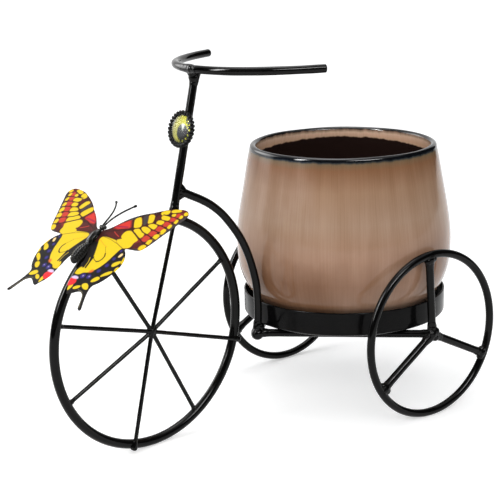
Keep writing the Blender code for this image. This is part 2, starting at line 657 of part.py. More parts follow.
# Wings: one printed sheet on each side, and a wire antenna with a small knob
for side, sign in (("near", -1.0), ("far", 1.0)):
    outline = [(WING_REACH * along, sign * WING_REACH * out) for along, out in WING_SHARES]
    wing = as_mesh(flat_sheet(f"wing_{side}", [outline], WING_THICKNESS))
    keep(wing, WING_PRINT, butterfly_seat)
    wing.rotation_euler = (sign * WING_DIHEDRAL, 0.0, 0.0)
    cut(wing, body_room)
    stops = [Vector((head_x + ANTENNA_LENGTH * along, sign * ANTENNA_LENGTH * out, ANTENNA_LENGTH * up))
             for along, out, up in ANTENNA_SHARES]
    route = smooth_path(stops, BODY_SAMPLES)
    swells = [1.0] * (len(route) - 2) + [ANTENNA_KNOB_SHARE, ANTENNA_KNOB_SHARE]
    antenna = solid_rod(f"antenna_{side}", route, ANTENNA_RADIUS, swells, WIRE_SIDES_RESOLUTION)
    keep(antenna, BODY_PLASTIC, butterfly_seat)
    cut(antenna, head_space, *eye_spaces)

bpy.context.view_layer.update()
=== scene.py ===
"""Looks of the tricycle planter: a welded tricycle, a glazed pot, a headlamp and a butterfly."""

import math

import bmesh
import bpy
import numpy as np
from mathutils import Matrix, Vector, noise


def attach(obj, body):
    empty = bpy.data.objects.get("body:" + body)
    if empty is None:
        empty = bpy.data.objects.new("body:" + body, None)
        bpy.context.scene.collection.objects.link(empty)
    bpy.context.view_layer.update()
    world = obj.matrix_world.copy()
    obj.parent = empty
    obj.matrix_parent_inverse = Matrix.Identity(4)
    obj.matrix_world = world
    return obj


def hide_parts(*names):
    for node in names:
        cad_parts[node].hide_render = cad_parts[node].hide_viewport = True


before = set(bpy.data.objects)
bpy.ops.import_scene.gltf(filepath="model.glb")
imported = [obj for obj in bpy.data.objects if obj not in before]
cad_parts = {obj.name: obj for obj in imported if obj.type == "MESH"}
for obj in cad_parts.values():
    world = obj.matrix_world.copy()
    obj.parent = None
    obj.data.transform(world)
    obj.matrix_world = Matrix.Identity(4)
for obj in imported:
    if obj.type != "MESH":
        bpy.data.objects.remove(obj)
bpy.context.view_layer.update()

# Camera: it stands ahead of the front wheel and to the near side, a little above the pot, as the
# photograph's does.  Its roll is small, and it has no shift.
UP = Vector((0.0, 0.0, 1.0))
camera_bearing = math.radians(-36.74)
camera_height_angle = math.radians(14.53)
camera_roll = math.radians(-1.366)
camera_place = Vector((-0.64738, -0.87699, 0.42619))
camera_back = Vector((math.sin(camera_bearing) * math.cos(camera_height_angle),
                      -math.cos(camera_bearing) * math.cos(camera_height_angle),
                      math.sin(camera_height_angle)))
level_right = (-camera_back).cross(UP).normalized()
level_up = level_right.cross(-camera_back)
camera_right = math.cos(camera_roll) * level_right + math.sin(camera_roll) * level_up
camera_up = math.cos(camera_roll) * level_up - math.sin(camera_roll) * level_right
camera_data = bpy.data.cameras.new("product_camera")
camera_data.lens = 99.66
camera_data.sensor_width = 36.0
camera = bpy.data.objects.new("product_camera", camera_data)
bpy.context.scene.collection.objects.link(camera)
camera_turn = Matrix((camera_right, camera_up, camera_back)).transposed().to_4x4()
camera.matrix_world = Matrix.Translation(camera_place) @ camera_turn
bpy.context.scene.camera = camera
bpy.context.scene.view_settings.view_transform = "Standard"


# Studio: a white sheet on the floor, a white surround, and soft lamps at a plain level.  The sheet
# keeps the shadow of the tricycle.
LAMP_AIM = Vector((0.02, 0.0, 0.14))
LAMP_PEAK = 2.25


def add(tree, kind, feeds, **options):
    """Add a node, set its options, and feed its inputs with values or other nodes' outputs."""
    made = tree.nodes.new(kind)
    for option, value in options.items():
        setattr(made, option, value)
    for socket, value in feeds.items():
        if isinstance(value, bpy.types.NodeSocket):
            tree.links.new(value, made.inputs[socket])
        else:
            made.inputs[socket].default_value = value
    return made


def calculate(tree, operation, first, second=0.0, third=0.0):
    """The result of one sum."""
    return add(tree, "ShaderNodeMath", {0: first, 1: second, 2: third}, operation=operation).outputs[0]


def length_of(tree, vector):
    return add(tree, "ShaderNodeVectorMath", {0: vector}, operation="LENGTH").outputs["Value"]


def stretch(tree, value, low, high, new_low=0.0, new_high=1.0, **options):
    """Stretch a value from one range to another, and keep it within."""
    return add(tree, "ShaderNodeMapRange", {"Value": value, "From Min": low, "From Max": high,
                                            "To Min": new_low, "To Max": new_high}, **options).outputs[0]


def mottle(tree, place, scale, detail, **more):
    """Soft mottling from 0 to 1 over the surface."""
    feeds = {"Vector": place, "Scale": scale, "Detail": detail, **more}
    return add(tree, "ShaderNodeTexNoise", feeds).outputs["Fac"]


def seen_directly(tree):
    """1 for rays from the camera and for reflections and sight through glass, else 0."""
    path = add(tree, "ShaderNodeLightPath", {}).outputs
    glossy = calculate(tree, "MAXIMUM", path["Is Glossy Ray"], path["Is Transmission Ray"])
    return calculate(tree, "MAXIMUM", path["Is Camera Ray"], glossy)


def stage_material(name):
    """An empty material for the studio, its node tree and its Object coordinates."""
    material = bpy.data.materials.new(name)
    material.use_nodes = True
    material.node_tree.nodes.clear()
    return material, material.node_tree, add(material.node_tree, "ShaderNodeTexCoord", {}).outputs["Object"]


def set_stage(work, name, material, only_reflected=False):
    """Make a part of the studio of a finished bmesh."""
    mesh = bpy.data.meshes.new(name)
    work.to_mesh(mesh)
    work.free()
    mesh.materials.append(material)
    piece = bpy.data.objects.new(name, mesh)
    if only_reflected:
        piece.visible_camera = False
        piece.visible_diffuse = False
        piece.visible_shadow = False
    bpy.context.scene.collection.objects.link(piece)


world = bpy.data.worlds.new("white_surround")
bpy.context.scene.world = world
world.use_nodes = True
tree = world.node_tree
tree.nodes.clear()
surround = add(tree, "ShaderNodeBackground", {"Color": (1.0, 1.0, 1.0, 1.0), "Strength": 1.0})
ambient = add(tree, "ShaderNodeBackground", {"Color": (0.98, 0.99, 1.0, 1.0), "Strength": 0.60})
both = add(tree, "ShaderNodeMixShader",
           {0: seen_directly(tree), 1: ambient.outputs[0], 2: surround.outputs[0]})
add(tree, "ShaderNodeOutputWorld", {"Surface": both.outputs[0]})

white_paper, tree, place = stage_material("white_paper")
paper_tone = stretch(tree, mottle(tree, place, 90.0, 3.0), 0.0, 1.0, 0.86, 0.90)
paper = add(tree, "ShaderNodeBsdfDiffuse", {"Color": paper_tone})
far_lift = stretch(tree, length_of(tree, place), 0.1, 2.6, 0.41, 0.60, interpolation_type="SMOOTHSTEP")
lift_strength = calculate(tree, "MULTIPLY", seen_directly(tree), far_lift)
lift = add(tree, "ShaderNodeEmission", {"Color": (1.0, 1.0, 1.0, 1.0), "Strength": lift_strength})
lit_paper = add(tree, "ShaderNodeAddShader", {0: paper.outputs[0], 1: lift.outputs[0]})
add(tree, "ShaderNodeOutputMaterial", {"Surface": lit_paper.outputs[0]})
work = bmesh.new()
bmesh.ops.create_grid(work, x_segments=2, y_segments=2, size=30.0)
set_stage(work, "paper_sheet", white_paper)

# Each lamp has a place, a width, a height and a power.  The fills only light the object, and the
# others only show as highlights in its gloss.
for lamp_name, lamp_place, lamp_width, lamp_height, lamp_power, is_fill in (
        ("front_fill", (-0.62, -1.02, 0.85), 1.40, 0.80, 8.2, True),
        ("top_fill", (0.10, 0.20, 1.30), 1.00, 1.00, 2.8, True),
        ("left_fill", (-1.20, 0.45, 0.75), 1.60, 1.20, 8.2, True),
        ("front_strip", (-0.09, -1.01, 1.12), 1.00, 0.18, 18.0, False),
        ("top_softbox", (0.15, 0.25, 1.25), 0.80, 0.80, 8.0, False),
        ("left_tall_box", (-1.13, 0.12, 0.97), 0.34, 1.12, 35.0, False),
        ("left_softbox", (-0.54, 1.38, 0.75), 1.50, 1.20, 18.0, False)):
    lamp_data = bpy.data.lights.new(lamp_name, "AREA")
    lamp_data.shape = "RECTANGLE"
    lamp_data.size = lamp_width
    lamp_data.size_y = lamp_height
    lamp_data.energy = lamp_power
    lamp = bpy.data.objects.new(lamp_name, lamp_data)
    lamp.location = lamp_place
    lamp.rotation_euler = (LAMP_AIM - Vector(lamp_place)).to_track_quat("-Z", "Y").to_euler()
    lamp.visible_camera = False
    lamp.visible_diffuse = is_fill
    lamp.visible_glossy = not is_fill
    # Like a real softbox, each is brightest in its middle and fades at its edges
    lamp_data.use_nodes = True
    tree = lamp_data.node_tree
    on_panel = add(tree, "ShaderNodeNewGeometry", {}).outputs["Parametric"]
    on_panel = add(tree, "ShaderNodeSeparateXYZ", {"Vector": on_panel}).outputs
    fades = []
    for share in (on_panel[0], on_panel[1]):
        rest = calculate(tree, "SUBTRACT", 1.0, share)
        fades.append(calculate(tree, "MULTIPLY", 4.0, calculate(tree, "MULTIPLY", share, rest)))
    glow = tree.nodes["Emission"].inputs
    glow["Color"].default_value = (1.0, 1.0, 1.0, 1.0)
    strength = calculate(tree, "MULTIPLY", LAMP_PEAK, calculate(tree, "MULTIPLY", *fades))
    tree.links.new(strength, glow["Strength"])
    bpy.context.scene.collection.objects.link(lamp)

# Curtain: black cloth hung round the camera's side, as in a darkened studio.  Only reflections see it,
# and it gives the gloss its dark side.
CURTAIN_DISTANCE = 2.2
CURTAIN_START = math.radians(102.0)
CURTAIN_SWEEP = math.radians(247.0)
black_curtain, tree, place = stage_material("black_curtain")
cloth_tone = stretch(tree, mottle(tree, place, 30.0, 2.0), 0.0, 1.0, 0.010, 0.020)
cloth = add(tree, "ShaderNodeBsdfDiffuse", {"Color": cloth_tone})
add(tree, "ShaderNodeOutputMaterial", {"Surface": cloth.outputs[0]})
work = bmesh.new()
post = [work.verts.new((CURTAIN_DISTANCE, 0.0, height)) for height in (0.02, 2.6)]
post_edge = work.edges.new(post)
to_start = Matrix.Rotation(camera_bearing - math.pi / 2.0 - CURTAIN_START, 3, "Z")
bmesh.ops.rotate(work, verts=post, cent=(0.0, 0.0, 0.0), matrix=to_start)
bmesh.ops.spin(work, geom=[*post, post_edge], cent=(0.0, 0.0, 0.0), axis=(0.0, 0.0, 1.0),
               angle=CURTAIN_SWEEP, steps=60)
set_stage(work, "studio_curtain", black_curtain, only_reflected=True)

# Front rim: a 7 mm steel rod bent to a ring, its ends welded, sprayed with a thick coat of gloss black.
# It stands on the floor and is set a few degrees to the near side.
ROD_SIDES = 20
PAINT = 0.00028
FRONT_RIM_RADIUS = 0.0904
FRONT_ROD_RADIUS = 0.0035
front_yaw = math.radians(5.56)
front_centre = Vector((-0.0927, 0.0, 0.0939))


def ramp(tree, value, stops):
    """A colour ramp with stops of (place, colour)."""
    made = add(tree, "ShaderNodeValToRGB", {0: value})
    bands = made.color_ramp.elements
    for extra in stops[2:]:
        bands.new(extra[0])
    for band, (place, colour) in zip(bands, sorted(stops)):
        band.position = place
        band.color = (*colour, 1.0)
    return made.outputs[0]


# The sprayed coat's small waves, its uneven shine and a little dust, for every black piece
sprayed = bpy.data.node_groups.new("sprayed_coat", "ShaderNodeTree")
for label, kind, start in (("Place", "NodeSocketVector", None), ("Peel Scale", "NodeSocketFloat", 700.0),
                           ("Shine Low", "NodeSocketFloat", 0.16), ("Shine High", "NodeSocketFloat", 0.30)):
    socket = sprayed.interface.new_socket(label, in_out="INPUT", socket_type=kind)
    if start is not None:
        socket.default_value = start
for label in ("Tone", "Roughness", "Height"):
    sprayed.interface.new_socket(label, in_out="OUTPUT", socket_type="NodeSocketFloat")
given = add(sprayed, "NodeGroupInput", {}).outputs
peel = mottle(sprayed, given["Place"], given["Peel Scale"], 2.0, Roughness=0.45)
patches = mottle(sprayed, given["Place"], 55.0, 4.0)
runs = mottle(sprayed, given["Place"], 160.0, 1.0)
specks = mottle(sprayed, given["Place"], 1500.0, 2.0)
dust = stretch(sprayed, specks, 0.64, 0.74)
shine = stretch(sprayed, patches, 0.35, 0.65, given["Shine Low"], given["Shine High"])
add(sprayed, "NodeGroupOutput", {"Tone": calculate(sprayed, "MULTIPLY_ADD", dust, 0.5, patches),
                                 "Roughness": calculate(sprayed, "MULTIPLY_ADD", dust, 0.15, shine),
                                 "Height": calculate(sprayed, "MULTIPLY_ADD", runs, 1.6, peel)})


def new_material(name):
    """A material with one Principled shader, its node tree and its Object coordinates."""
    material = bpy.data.materials.new(name)
    material.use_nodes = True
    tree = material.node_tree
    shader = tree.nodes["Principled BSDF"]
    place = add(tree, "ShaderNodeTexCoord", {}).outputs["Object"]
    return material, tree, shader, place


def dress(tree, shader, colour=None, rough=None, height=None, relief=0.0, gloss=None):
    """Feed a shader its colour, roughness and height, with a relief in metres, and set its gloss."""
    if colour is not None:
        tree.links.new(colour, shader.inputs["Base Color"])
    if rough is not None:
        tree.links.new(rough, shader.inputs["Roughness"])
    if height is not None:
        bump = add(tree, "ShaderNodeBump", {"Height": height, "Distance": relief, "Strength": 1.0})
        tree.links.new(bump.outputs[0], shader.inputs["Normal"])
    if gloss is not None:
        shader.inputs["Specular IOR Level"].default_value = gloss


def black_paint(name, peel_scale, relief, shine_low, shine_high, gloss, dark, light):
    """Sprayed black paint: wave size, relief in metres, range of roughness, gloss and two tones."""
    material, tree, shader, place = new_material(name)
    coat = add(tree, "ShaderNodeGroup", {}, node_tree=sprayed)
    tree.links.new(place, coat.inputs["Place"])
    for label, value in (("Peel Scale", peel_scale), ("Shine Low", shine_low), ("Shine High", shine_high)):
        coat.inputs[label].default_value = value
    colour = ramp(tree, coat.outputs["Tone"], [(0.3, dark), (0.8, light)])
    dress(tree, shader, colour, coat.outputs["Roughness"], coat.outputs["Height"], relief, gloss)
    return material


COAT_TONES = ((0.0016, 0.0016, 0.0017), (0.0045, 0.0042, 0.0040))
rod_paint = black_paint("rod_paint", 700.0, 0.00002, 0.07, 0.12, 0.125, *COAT_TONES)


def put_up(work, name, body, nodes, material):
    """Make a piece of a finished bmesh.  It rides on its body and stands for its CAD nodes."""
    bmesh.ops.recalc_face_normals(work, faces=work.faces)
    for face in work.faces:
        face.smooth = True
    mesh = bpy.data.meshes.new(name)
    work.to_mesh(mesh)
    work.free()
    mesh.materials.append(material)
    piece = bpy.data.objects.new(name, mesh)
    bpy.context.scene.collection.objects.link(piece)
    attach(piece, body)
    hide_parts(*nodes)
    return piece


def unevenness(work, size, depth):
    """Push the surface in and out a little, in waves of a given size."""
    work.normal_update()
    moves = [vert.normal * (noise.noise(vert.co / size) * depth) for vert in work.verts]
    for vert, move in zip(work.verts, moves):
        vert.co += move


def bend_ring(centre, radius, tube, yaw, steps):
    """Bend a rod to a closed ring that stands on edge."""
    work = bmesh.new()
    section = bmesh.ops.create_circle(work, cap_ends=False, radius=tube, segments=ROD_SIDES)["verts"]
    stand = Matrix.Translation((radius, 0.0, 0.0)) @ Matrix.Rotation(math.pi / 2.0, 4, "X")
    bmesh.ops.transform(work, matrix=stand, verts=section)
    bmesh.ops.spin(work, geom=work.verts[:] + work.edges[:], cent=(0.0, 0.0, 0.0), axis=(0.0, 0.0, 1.0),
                   angle=2.0 * math.pi, steps=steps, use_merge=True)
    bmesh.ops.remove_doubles(work, verts=work.verts, dist=0.00001)
    on_edge = (Matrix.Translation(centre) @ Matrix.Rotation(yaw, 4, "Z")
               @ Matrix.Rotation(math.pi / 2.0, 4, "X"))
    bmesh.ops.transform(work, matrix=on_edge, verts=work.verts)
    unevenness(work, 0.030, 0.00012)
    return work


put_up(bend_ring(front_centre, FRONT_RIM_RADIUS, FRONT_ROD_RADIUS + PAINT, front_yaw, 180),
       "front_rim_rod", "stand", ["front_rim"], rod_paint)

# Front wires: eight straight pieces of 2.8 mm wire, cut by hand and spaced by eye.  They meet in one
# weld at the hub and end in small welds on the rim, two of them on its near face.
WIRE_RADIUS = 0.0014 + PAINT
SUNK = 0.0002
WELD_VOXEL = 0.0003
WIRE_STUB = 0.0075
wheel_back = Vector((math.cos(front_yaw), math.sin(front_yaw), 0.0))
wheel_side = Vector((-math.sin(front_yaw), math.cos(front_yaw), 0.0))
front_hub = front_centre - wheel_side * 0.0027 + UP * 0.0007
front_directions = (71.0, 121.3, 164.2, 205.7, 255.5, 299.1, 343.5, 389.7)
face_directions = (255.5, 343.5)
weld_paint = black_paint("weld_paint", 900.0, 0.00004, 0.08, 0.14, 0.14, *COAT_TONES)


def pull_rod(work, route, radii, sides=ROD_SIDES):
    """Pull a round section along a route of points, with a radius at each, and close its ends."""
    ring = bmesh.ops.create_circle(work, cap_ends=False, radius=1.0, segments=sides)["verts"]
    first_ring = ring
    turn = UP.rotation_difference(route[1] - route[0])
    last_place = Matrix.Identity(4)
    for index, point in enumerate(route):
        ahead = route[min(index + 1, len(route) - 1)] - route[max(index - 1, 0)]
        turn = (turn @ UP).rotation_difference(ahead) @ turn
        place = Matrix.LocRotScale(point, turn, (radii[index],) * 3)
        if index:
            inside = set(ring)
            edges = {edge for vert in ring for edge in vert.link_edges
                     if edge.verts[0] in inside and edge.verts[1] in inside}
            pulled = bmesh.ops.extrude_edge_only(work, edges=list(edges))["geom"]
            ring = [item for item in pulled if isinstance(item, bmesh.types.BMVert)]
        bmesh.ops.transform(work, matrix=place @ last_place.inverted(), verts=ring)
        last_place = place
    for end_ring in (first_ring, ring):
        bmesh.ops.contextual_create(work, geom=list(end_ring))


def straight(start, end, steps):
    """A straight route in equal steps."""
    return [start.lerp(end, step / steps) for step in range(steps + 1)]


def on_front_wheel(direction, radius):
    """A point in the plane of the front wheel, from its centre."""
    return (front_centre + wheel_back * (radius * math.cos(math.radians(direction)))
            + UP * (radius * math.sin(math.radians(direction))))


def melt(name, nodes, stubs, lumps):
    """Melt stubs of rod (start, end, two radii) and lumps (centre, radius) into one weld."""
    work = bmesh.new()
    for start, end, thick, thin in stubs:
        middle = start.lerp(end, 0.45)
        pull_rod(work, [start, middle, end], [thick, thick * 0.55 + thin * 0.45, thin], 16)
    for centre, radius in lumps:
        bmesh.ops.create_icosphere(work, subdivisions=3, radius=radius, matrix=Matrix.Translation(centre))
    bmesh.ops.recalc_face_normals(work, faces=work.faces)
    cold = bpy.data.meshes.new(name + "_cold")
    work.to_mesh(cold)
    work.free()
    holder = bpy.data.objects.new(name + "_cold", cold)
    bpy.context.scene.collection.objects.link(holder)
    fuse = holder.modifiers.new("fuse", "REMESH")
    fuse.mode = "VOXEL"
    fuse.voxel_size = WELD_VOXEL
    calm = holder.modifiers.new("calm", "SMOOTH")
    calm.factor = 0.5
    calm.iterations = 7
    graph = bpy.context.evaluated_depsgraph_get()
    melted = bpy.data.meshes.new_from_object(holder.evaluated_get(graph))
    bpy.data.objects.remove(holder)
    work = bmesh.new()
    work.from_mesh(melted)
    unevenness(work, 0.0024, 0.00020)
    put_up(work, name, "stand", nodes, weld_paint)


front_stubs = []
front_lumps = [(front_hub, 0.0027), (front_hub - wheel_side * 0.0008 + UP * 0.0010, 0.0021)]
for number, direction in enumerate(front_directions):
    on_face = direction in face_directions
    if on_face:
        tip = on_front_wheel(direction, FRONT_RIM_RADIUS + 0.0022) - wheel_side * 0.0040
    else:
        tip = on_front_wheel(direction, FRONT_RIM_RADIUS - 0.001)
    along = (tip - front_hub).normalized()
    work = bmesh.new()
    pull_rod(work, straight(front_hub, tip, 4), [WIRE_RADIUS] * 5, 14)
    long_edges = [edge for edge in work.edges if edge.calc_length() > 0.01]
    bmesh.ops.subdivide_edges(work, edges=long_edges, cuts=6)
    unevenness(work, 0.012, 0.00010)
    put_up(work, f"front_wire_{number + 1}", "stand", [f"front_spoke_{number + 1}"], rod_paint)
    front_stubs += [(front_hub, front_hub + along * WIRE_STUB, WIRE_RADIUS + 0.0005, WIRE_RADIUS - SUNK),
                    (tip, tip - along * WIRE_STUB, WIRE_RADIUS + 0.0009, WIRE_RADIUS - SUNK)]
    if on_face:
        front_lumps += [(tip, 0.0025), (tip - along * 0.0025, 0.0021), (tip + wheel_side * 0.0018, 0.0026)]
    else:
        front_lumps += [(tip - along * 0.0025, 0.0021),
                        (tip - along * 0.0032 - wheel_side * 0.0012, 0.0016)]
melt("front_wheel_welds", ["front_hub_weld"], front_stubs, front_lumps)

# Rear wheels: two rings of 6 mm rod with three straight spokes of the same rod in each.  The spokes
# meet in a thick weld at the hub, where the base bars end too, and swell where they meet the rim.
ROD_RADIUS = 0.0030 + PAINT
REAR_RIM_RADIUS = 0.0675
REAR_HUB_BACK = 0.1196
REAR_HUB_OUT = 0.0972
HUB_HEIGHT = 0.0705
HUB_STUB = 0.0125
RIM_STUB = 0.0130
rear_hubs = {}


def black_rod(name, node, route, radii=None, wave=0.015, depth=0.00012):
    """Put up one length of the stand's rod along a route."""
    work = bmesh.new()
    pull_rod(work, route, radii or [ROD_RADIUS] * len(route))
    unevenness(work, wave, depth)
    put_up(work, name, "stand", [node], rod_paint)


for side, sign, wheel_turn in (("near", -1.0, 93.5), ("far", 1.0, 89.0)):
    hub = Vector((REAR_HUB_BACK, sign * REAR_HUB_OUT, HUB_HEIGHT))
    rear_hubs[side] = hub
    put_up(bend_ring(hub, REAR_RIM_RADIUS, ROD_RADIUS, 0.0, 150),
           f"rear_rim_rod_{side}", "stand", [f"rear_rim_{side}"], rod_paint)
    rear_stubs = []
    outward = Vector((0.0, sign, 0.0))
    rear_lumps = [(hub, 0.0051), (hub + Vector((0.0016, sign * 0.0020, 0.0024)), 0.0036),
                  (hub + Vector((-0.0018, sign * 0.0020, 0.0006)), 0.0036),
                  (hub + Vector((0.0012, sign * 0.0018, -0.0026)), 0.0035)]
    for number in range(3):
        angle = math.radians(wheel_turn) + 2.0 * math.pi * number / 3.0
        out = Vector((math.cos(angle), 0.0, math.sin(angle)))
        round_rim = Vector((-out.z, 0.0, out.x))
        tip = hub + out * REAR_RIM_RADIUS
        spoke = f"{side}_{number + 1}"
        black_rod(f"rear_spoke_rod_{spoke}", f"rear_spoke_{spoke}", straight(hub, tip, 10))
        rear_stubs += [(hub, hub + out * HUB_STUB, ROD_RADIUS + 0.0016, ROD_RADIUS - SUNK),
                       (tip, tip - out * RIM_STUB, ROD_RADIUS + 0.0014, ROD_RADIUS - SUNK)]
        rear_lumps += [(tip - out * 0.0036 + outward * 0.0012, 0.0038),
                       (tip - out * 0.0044 + round_rim * 0.0026 + outward * 0.0010, 0.0032),
                       (tip - out * 0.0034 - round_rim * 0.0034 + outward * 0.0008, 0.0030),
                       (tip - out * 0.0084, 0.0035)]
    melt(f"rear_wheel_welds_{side}", [f"rear_hub_weld_{side}"], rear_stubs, rear_lumps)

# Base: two straight 6 mm bars run from the foot of the backbone to the rear hubs, under the tray.
# At the foot they are gathered in one round lump of weld.
BASE_STUB = 0.0120
foot = Vector((0.0130, 0.0, HUB_HEIGHT))
base_stubs = []
for side in ("near", "far"):
    hub = rear_hubs[side]
    along = (hub - foot).normalized()
    black_rod(f"base_rod_{side}", f"base_bar_{side}", straight(foot, hub, 16), depth=0.00010)
    base_stubs += [(foot, foot + along * BASE_STUB, ROD_RADIUS + 0.0012, ROD_RADIUS - SUNK),
                   (hub, hub - along * BASE_STUB, ROD_RADIUS + 0.0010, ROD_RADIUS - SUNK)]
base_stubs.append((foot, foot + UP * 0.0110, ROD_RADIUS + 0.0012, ROD_RADIUS - SUNK))
melt("foot_weld", ["backbone_foot_weld"], base_stubs,
     [(foot, 0.0054), (foot + Vector((-0.0012, -0.0014, -0.0004)), 0.0052),
      (foot + Vector((0.0022, -0.0008, 0.0048)), 0.0038)])

# Stem: a straight 6 mm rod, raked back about 14 degrees.  It is welded on top of the front rim, and it
# carries the handlebar and the headlamp.
stem_rake = math.radians(14.0)
stem_axis = wheel_back * math.sin(stem_rake) + UP * math.cos(stem_rake)
stem_front = wheel_back * -math.cos(stem_rake) + UP * math.sin(stem_rake)
STEM_FOOT_ANGLE = 72.3
STEM_LENGTH = 0.1134
stem_foot = on_front_wheel(STEM_FOOT_ANGLE, FRONT_RIM_RADIUS)
stem_base = on_front_wheel(STEM_FOOT_ANGLE, FRONT_RIM_RADIUS + FRONT_ROD_RADIUS)
stem_top = stem_base + stem_axis * STEM_LENGTH
black_rod("stem_rod", "stem", straight(stem_foot, stem_top, 20), wave=0.014)
melt("stem_foot_weld", [],
     [(stem_foot, stem_foot + stem_axis * 0.0160, ROD_RADIUS + 0.0014, ROD_RADIUS - SUNK)],
     [(stem_base - stem_axis * 0.0006, 0.0042)])

# Handlebar: one 6 mm rod bent to a bow with plain cut ends, welded on the front of the stem's head.
# The weld is a lump that wraps the head of the stem and reaches up round the bar.
handle_centre = stem_top + stem_front * 0.0063
HANDLE_HALF_WIDTH = 0.0770
HANDLE_SWEEP = 0.0725
handle_shares = ((0.0, 0.0), (0.130, 0.013), (0.260, 0.050), (0.390, 0.108), (0.520, 0.194),
                 (0.640, 0.316), (0.750, 0.462), (0.840, 0.612), (0.920, 0.782), (1.0, 1.0))


def smooth_route(points, samples):
    """Points along a smooth curve that goes through all the given points."""
    route = []
    last = len(points) - 1
    for index in range(last):
        before, start = points[max(index - 1, 0)], points[index]
        end, after = points[index + 1], points[min(index + 2, last)]
        for step in range(samples):
            t = step / samples
            route.append(0.5 * (2.0 * start + (end - before) * t
                                + (2.0 * before - 5.0 * start + 4.0 * end - after) * t ** 2
                                + (3.0 * start - before - 3.0 * end + after) * t ** 3))
    route.append(points[last])
    return route


handle_across = Vector((0.0, 1.0, 0.0))
handle_stops = []
for side, shares in ((-1.0, handle_shares[::-1]), (1.0, handle_shares[1:])):
    for across, back in shares:
        off_centre = Vector((HANDLE_SWEEP * back, side * HANDLE_HALF_WIDTH * across, 0.0))
        handle_stops.append(handle_centre + off_centre)
handle_route = smooth_route(handle_stops, 8)
# A point close to each end lets the cut edge be rounded
handle_route.insert(1, handle_route[0].lerp(handle_route[1], 0.25))
handle_route.insert(len(handle_route) - 1, handle_route[-1].lerp(handle_route[-2], 0.25))
handle_radii = [ROD_RADIUS] * len(handle_route)
handle_radii[0] = handle_radii[-1] = ROD_RADIUS * 0.88
black_rod("handlebar_rod", "handlebar", handle_route, handle_radii, wave=0.014)
head_centre = stem_top - stem_axis * 0.0016
melt("handlebar_weld", ["stem_head_weld"],
     [(head_centre, head_centre - stem_axis * 0.0130, ROD_RADIUS + 0.0013, ROD_RADIUS - SUNK),
      (handle_centre, handle_centre + handle_across * 0.0100, ROD_RADIUS + 0.0006, ROD_RADIUS - SUNK),
      (handle_centre, handle_centre - handle_across * 0.0100, ROD_RADIUS + 0.0006, ROD_RADIUS - SUNK)],
     [(head_centre, 0.0046), (head_centre + stem_front * 0.0034 - stem_axis * 0.0010, 0.0038),
      (head_centre - stem_axis * 0.0046 + stem_front * 0.0008, 0.0043),
      (handle_centre - handle_across * 0.0030 + stem_front * 0.0004, 0.0037)])

# Backbone: one 6 mm rod bent to an arc, from the back of the stem over the wheel and down to the foot.
# A long fillet of weld joins it to the stem.
backbone_start = stem_base + stem_axis * 0.0180
backbone_shares = ((0.0, 0.0), (0.070, 0.009), (0.154, 0.033), (0.297, 0.073), (0.433, 0.121),
                   (0.587, 0.198), (0.743, 0.309), (0.835, 0.396), (0.904, 0.484), (0.959, 0.583),
                   (0.998, 0.682), (1.014, 0.785), (1.015, 0.866), (1.008, 0.944), (1.0, 1.0))
run = foot - backbone_start
backbone_stops = [backbone_start + Vector((run.x * along, run.y * along, run.z * down))
                  for along, down in backbone_shares]
backbone_route = smooth_route(backbone_stops, 6)
black_rod("backbone_rod", "backbone", backbone_route)
fillet_end = backbone_route[8]
melt("backbone_weld", [],
     [(backbone_start + stem_axis * 0.0062, fillet_end, 0.0026, ROD_RADIUS - 2.0 * SUNK),
      (backbone_start + stem_axis * 0.0030, fillet_end, 0.0032, ROD_RADIUS - SUNK),
      (backbone_start - stem_axis * 0.0030, fillet_end, 0.0032, ROD_RADIUS - SUNK),
      (backbone_start - stem_axis * 0.0060, fillet_end, 0.0026, ROD_RADIUS - 2.0 * SUNK),
      (backbone_start, fillet_end, 0.0034, ROD_RADIUS)],
     [(backbone_start + wheel_back * 0.0022, 0.0036)])

# Tray: a pressed steel dish with a rounded lower corner and a plain rolled edge, sprayed gloss black
# and welded on the two base bars.
POT_X = 0.1077
TRAY_RADIUS = 0.0864
TRAY_HEIGHT = 0.0205
TRAY_WALL = 0.0015
CORNER_INWARD = 0.0060
CORNER_HEIGHT = 0.0030
tray_base = 0.0738


def corner(radius, bottom, samples=8):
    """A rounded lower corner of the tray, from its wall to its flat."""
    points = []
    for step in range(samples + 1):
        turn = 0.5 * math.pi * step / samples
        points.append((radius - CORNER_INWARD * (1.0 - math.cos(turn)),
                       bottom + CORNER_HEIGHT * (1.0 - math.sin(turn))))
    return points


def spin_profile(profile, steps, x, z):
    """Spin a profile of (radius, height) about an upright axis at x, with its base at z."""
    work = bmesh.new()
    verts = [work.verts.new((radius, 0.0, height)) for radius, height in profile]
    for first, second in zip(verts, verts[1:]):
        work.edges.new((first, second))
    bmesh.ops.spin(work, geom=work.verts[:] + work.edges[:], cent=(0.0, 0.0, 0.0), axis=(0.0, 0.0, 1.0),
                   angle=2.0 * math.pi, steps=steps, use_merge=True)
    bmesh.ops.remove_doubles(work, verts=work.verts, dist=0.00001)
    bmesh.ops.translate(work, vec=(x, 0.0, z), verts=work.verts)
    return work


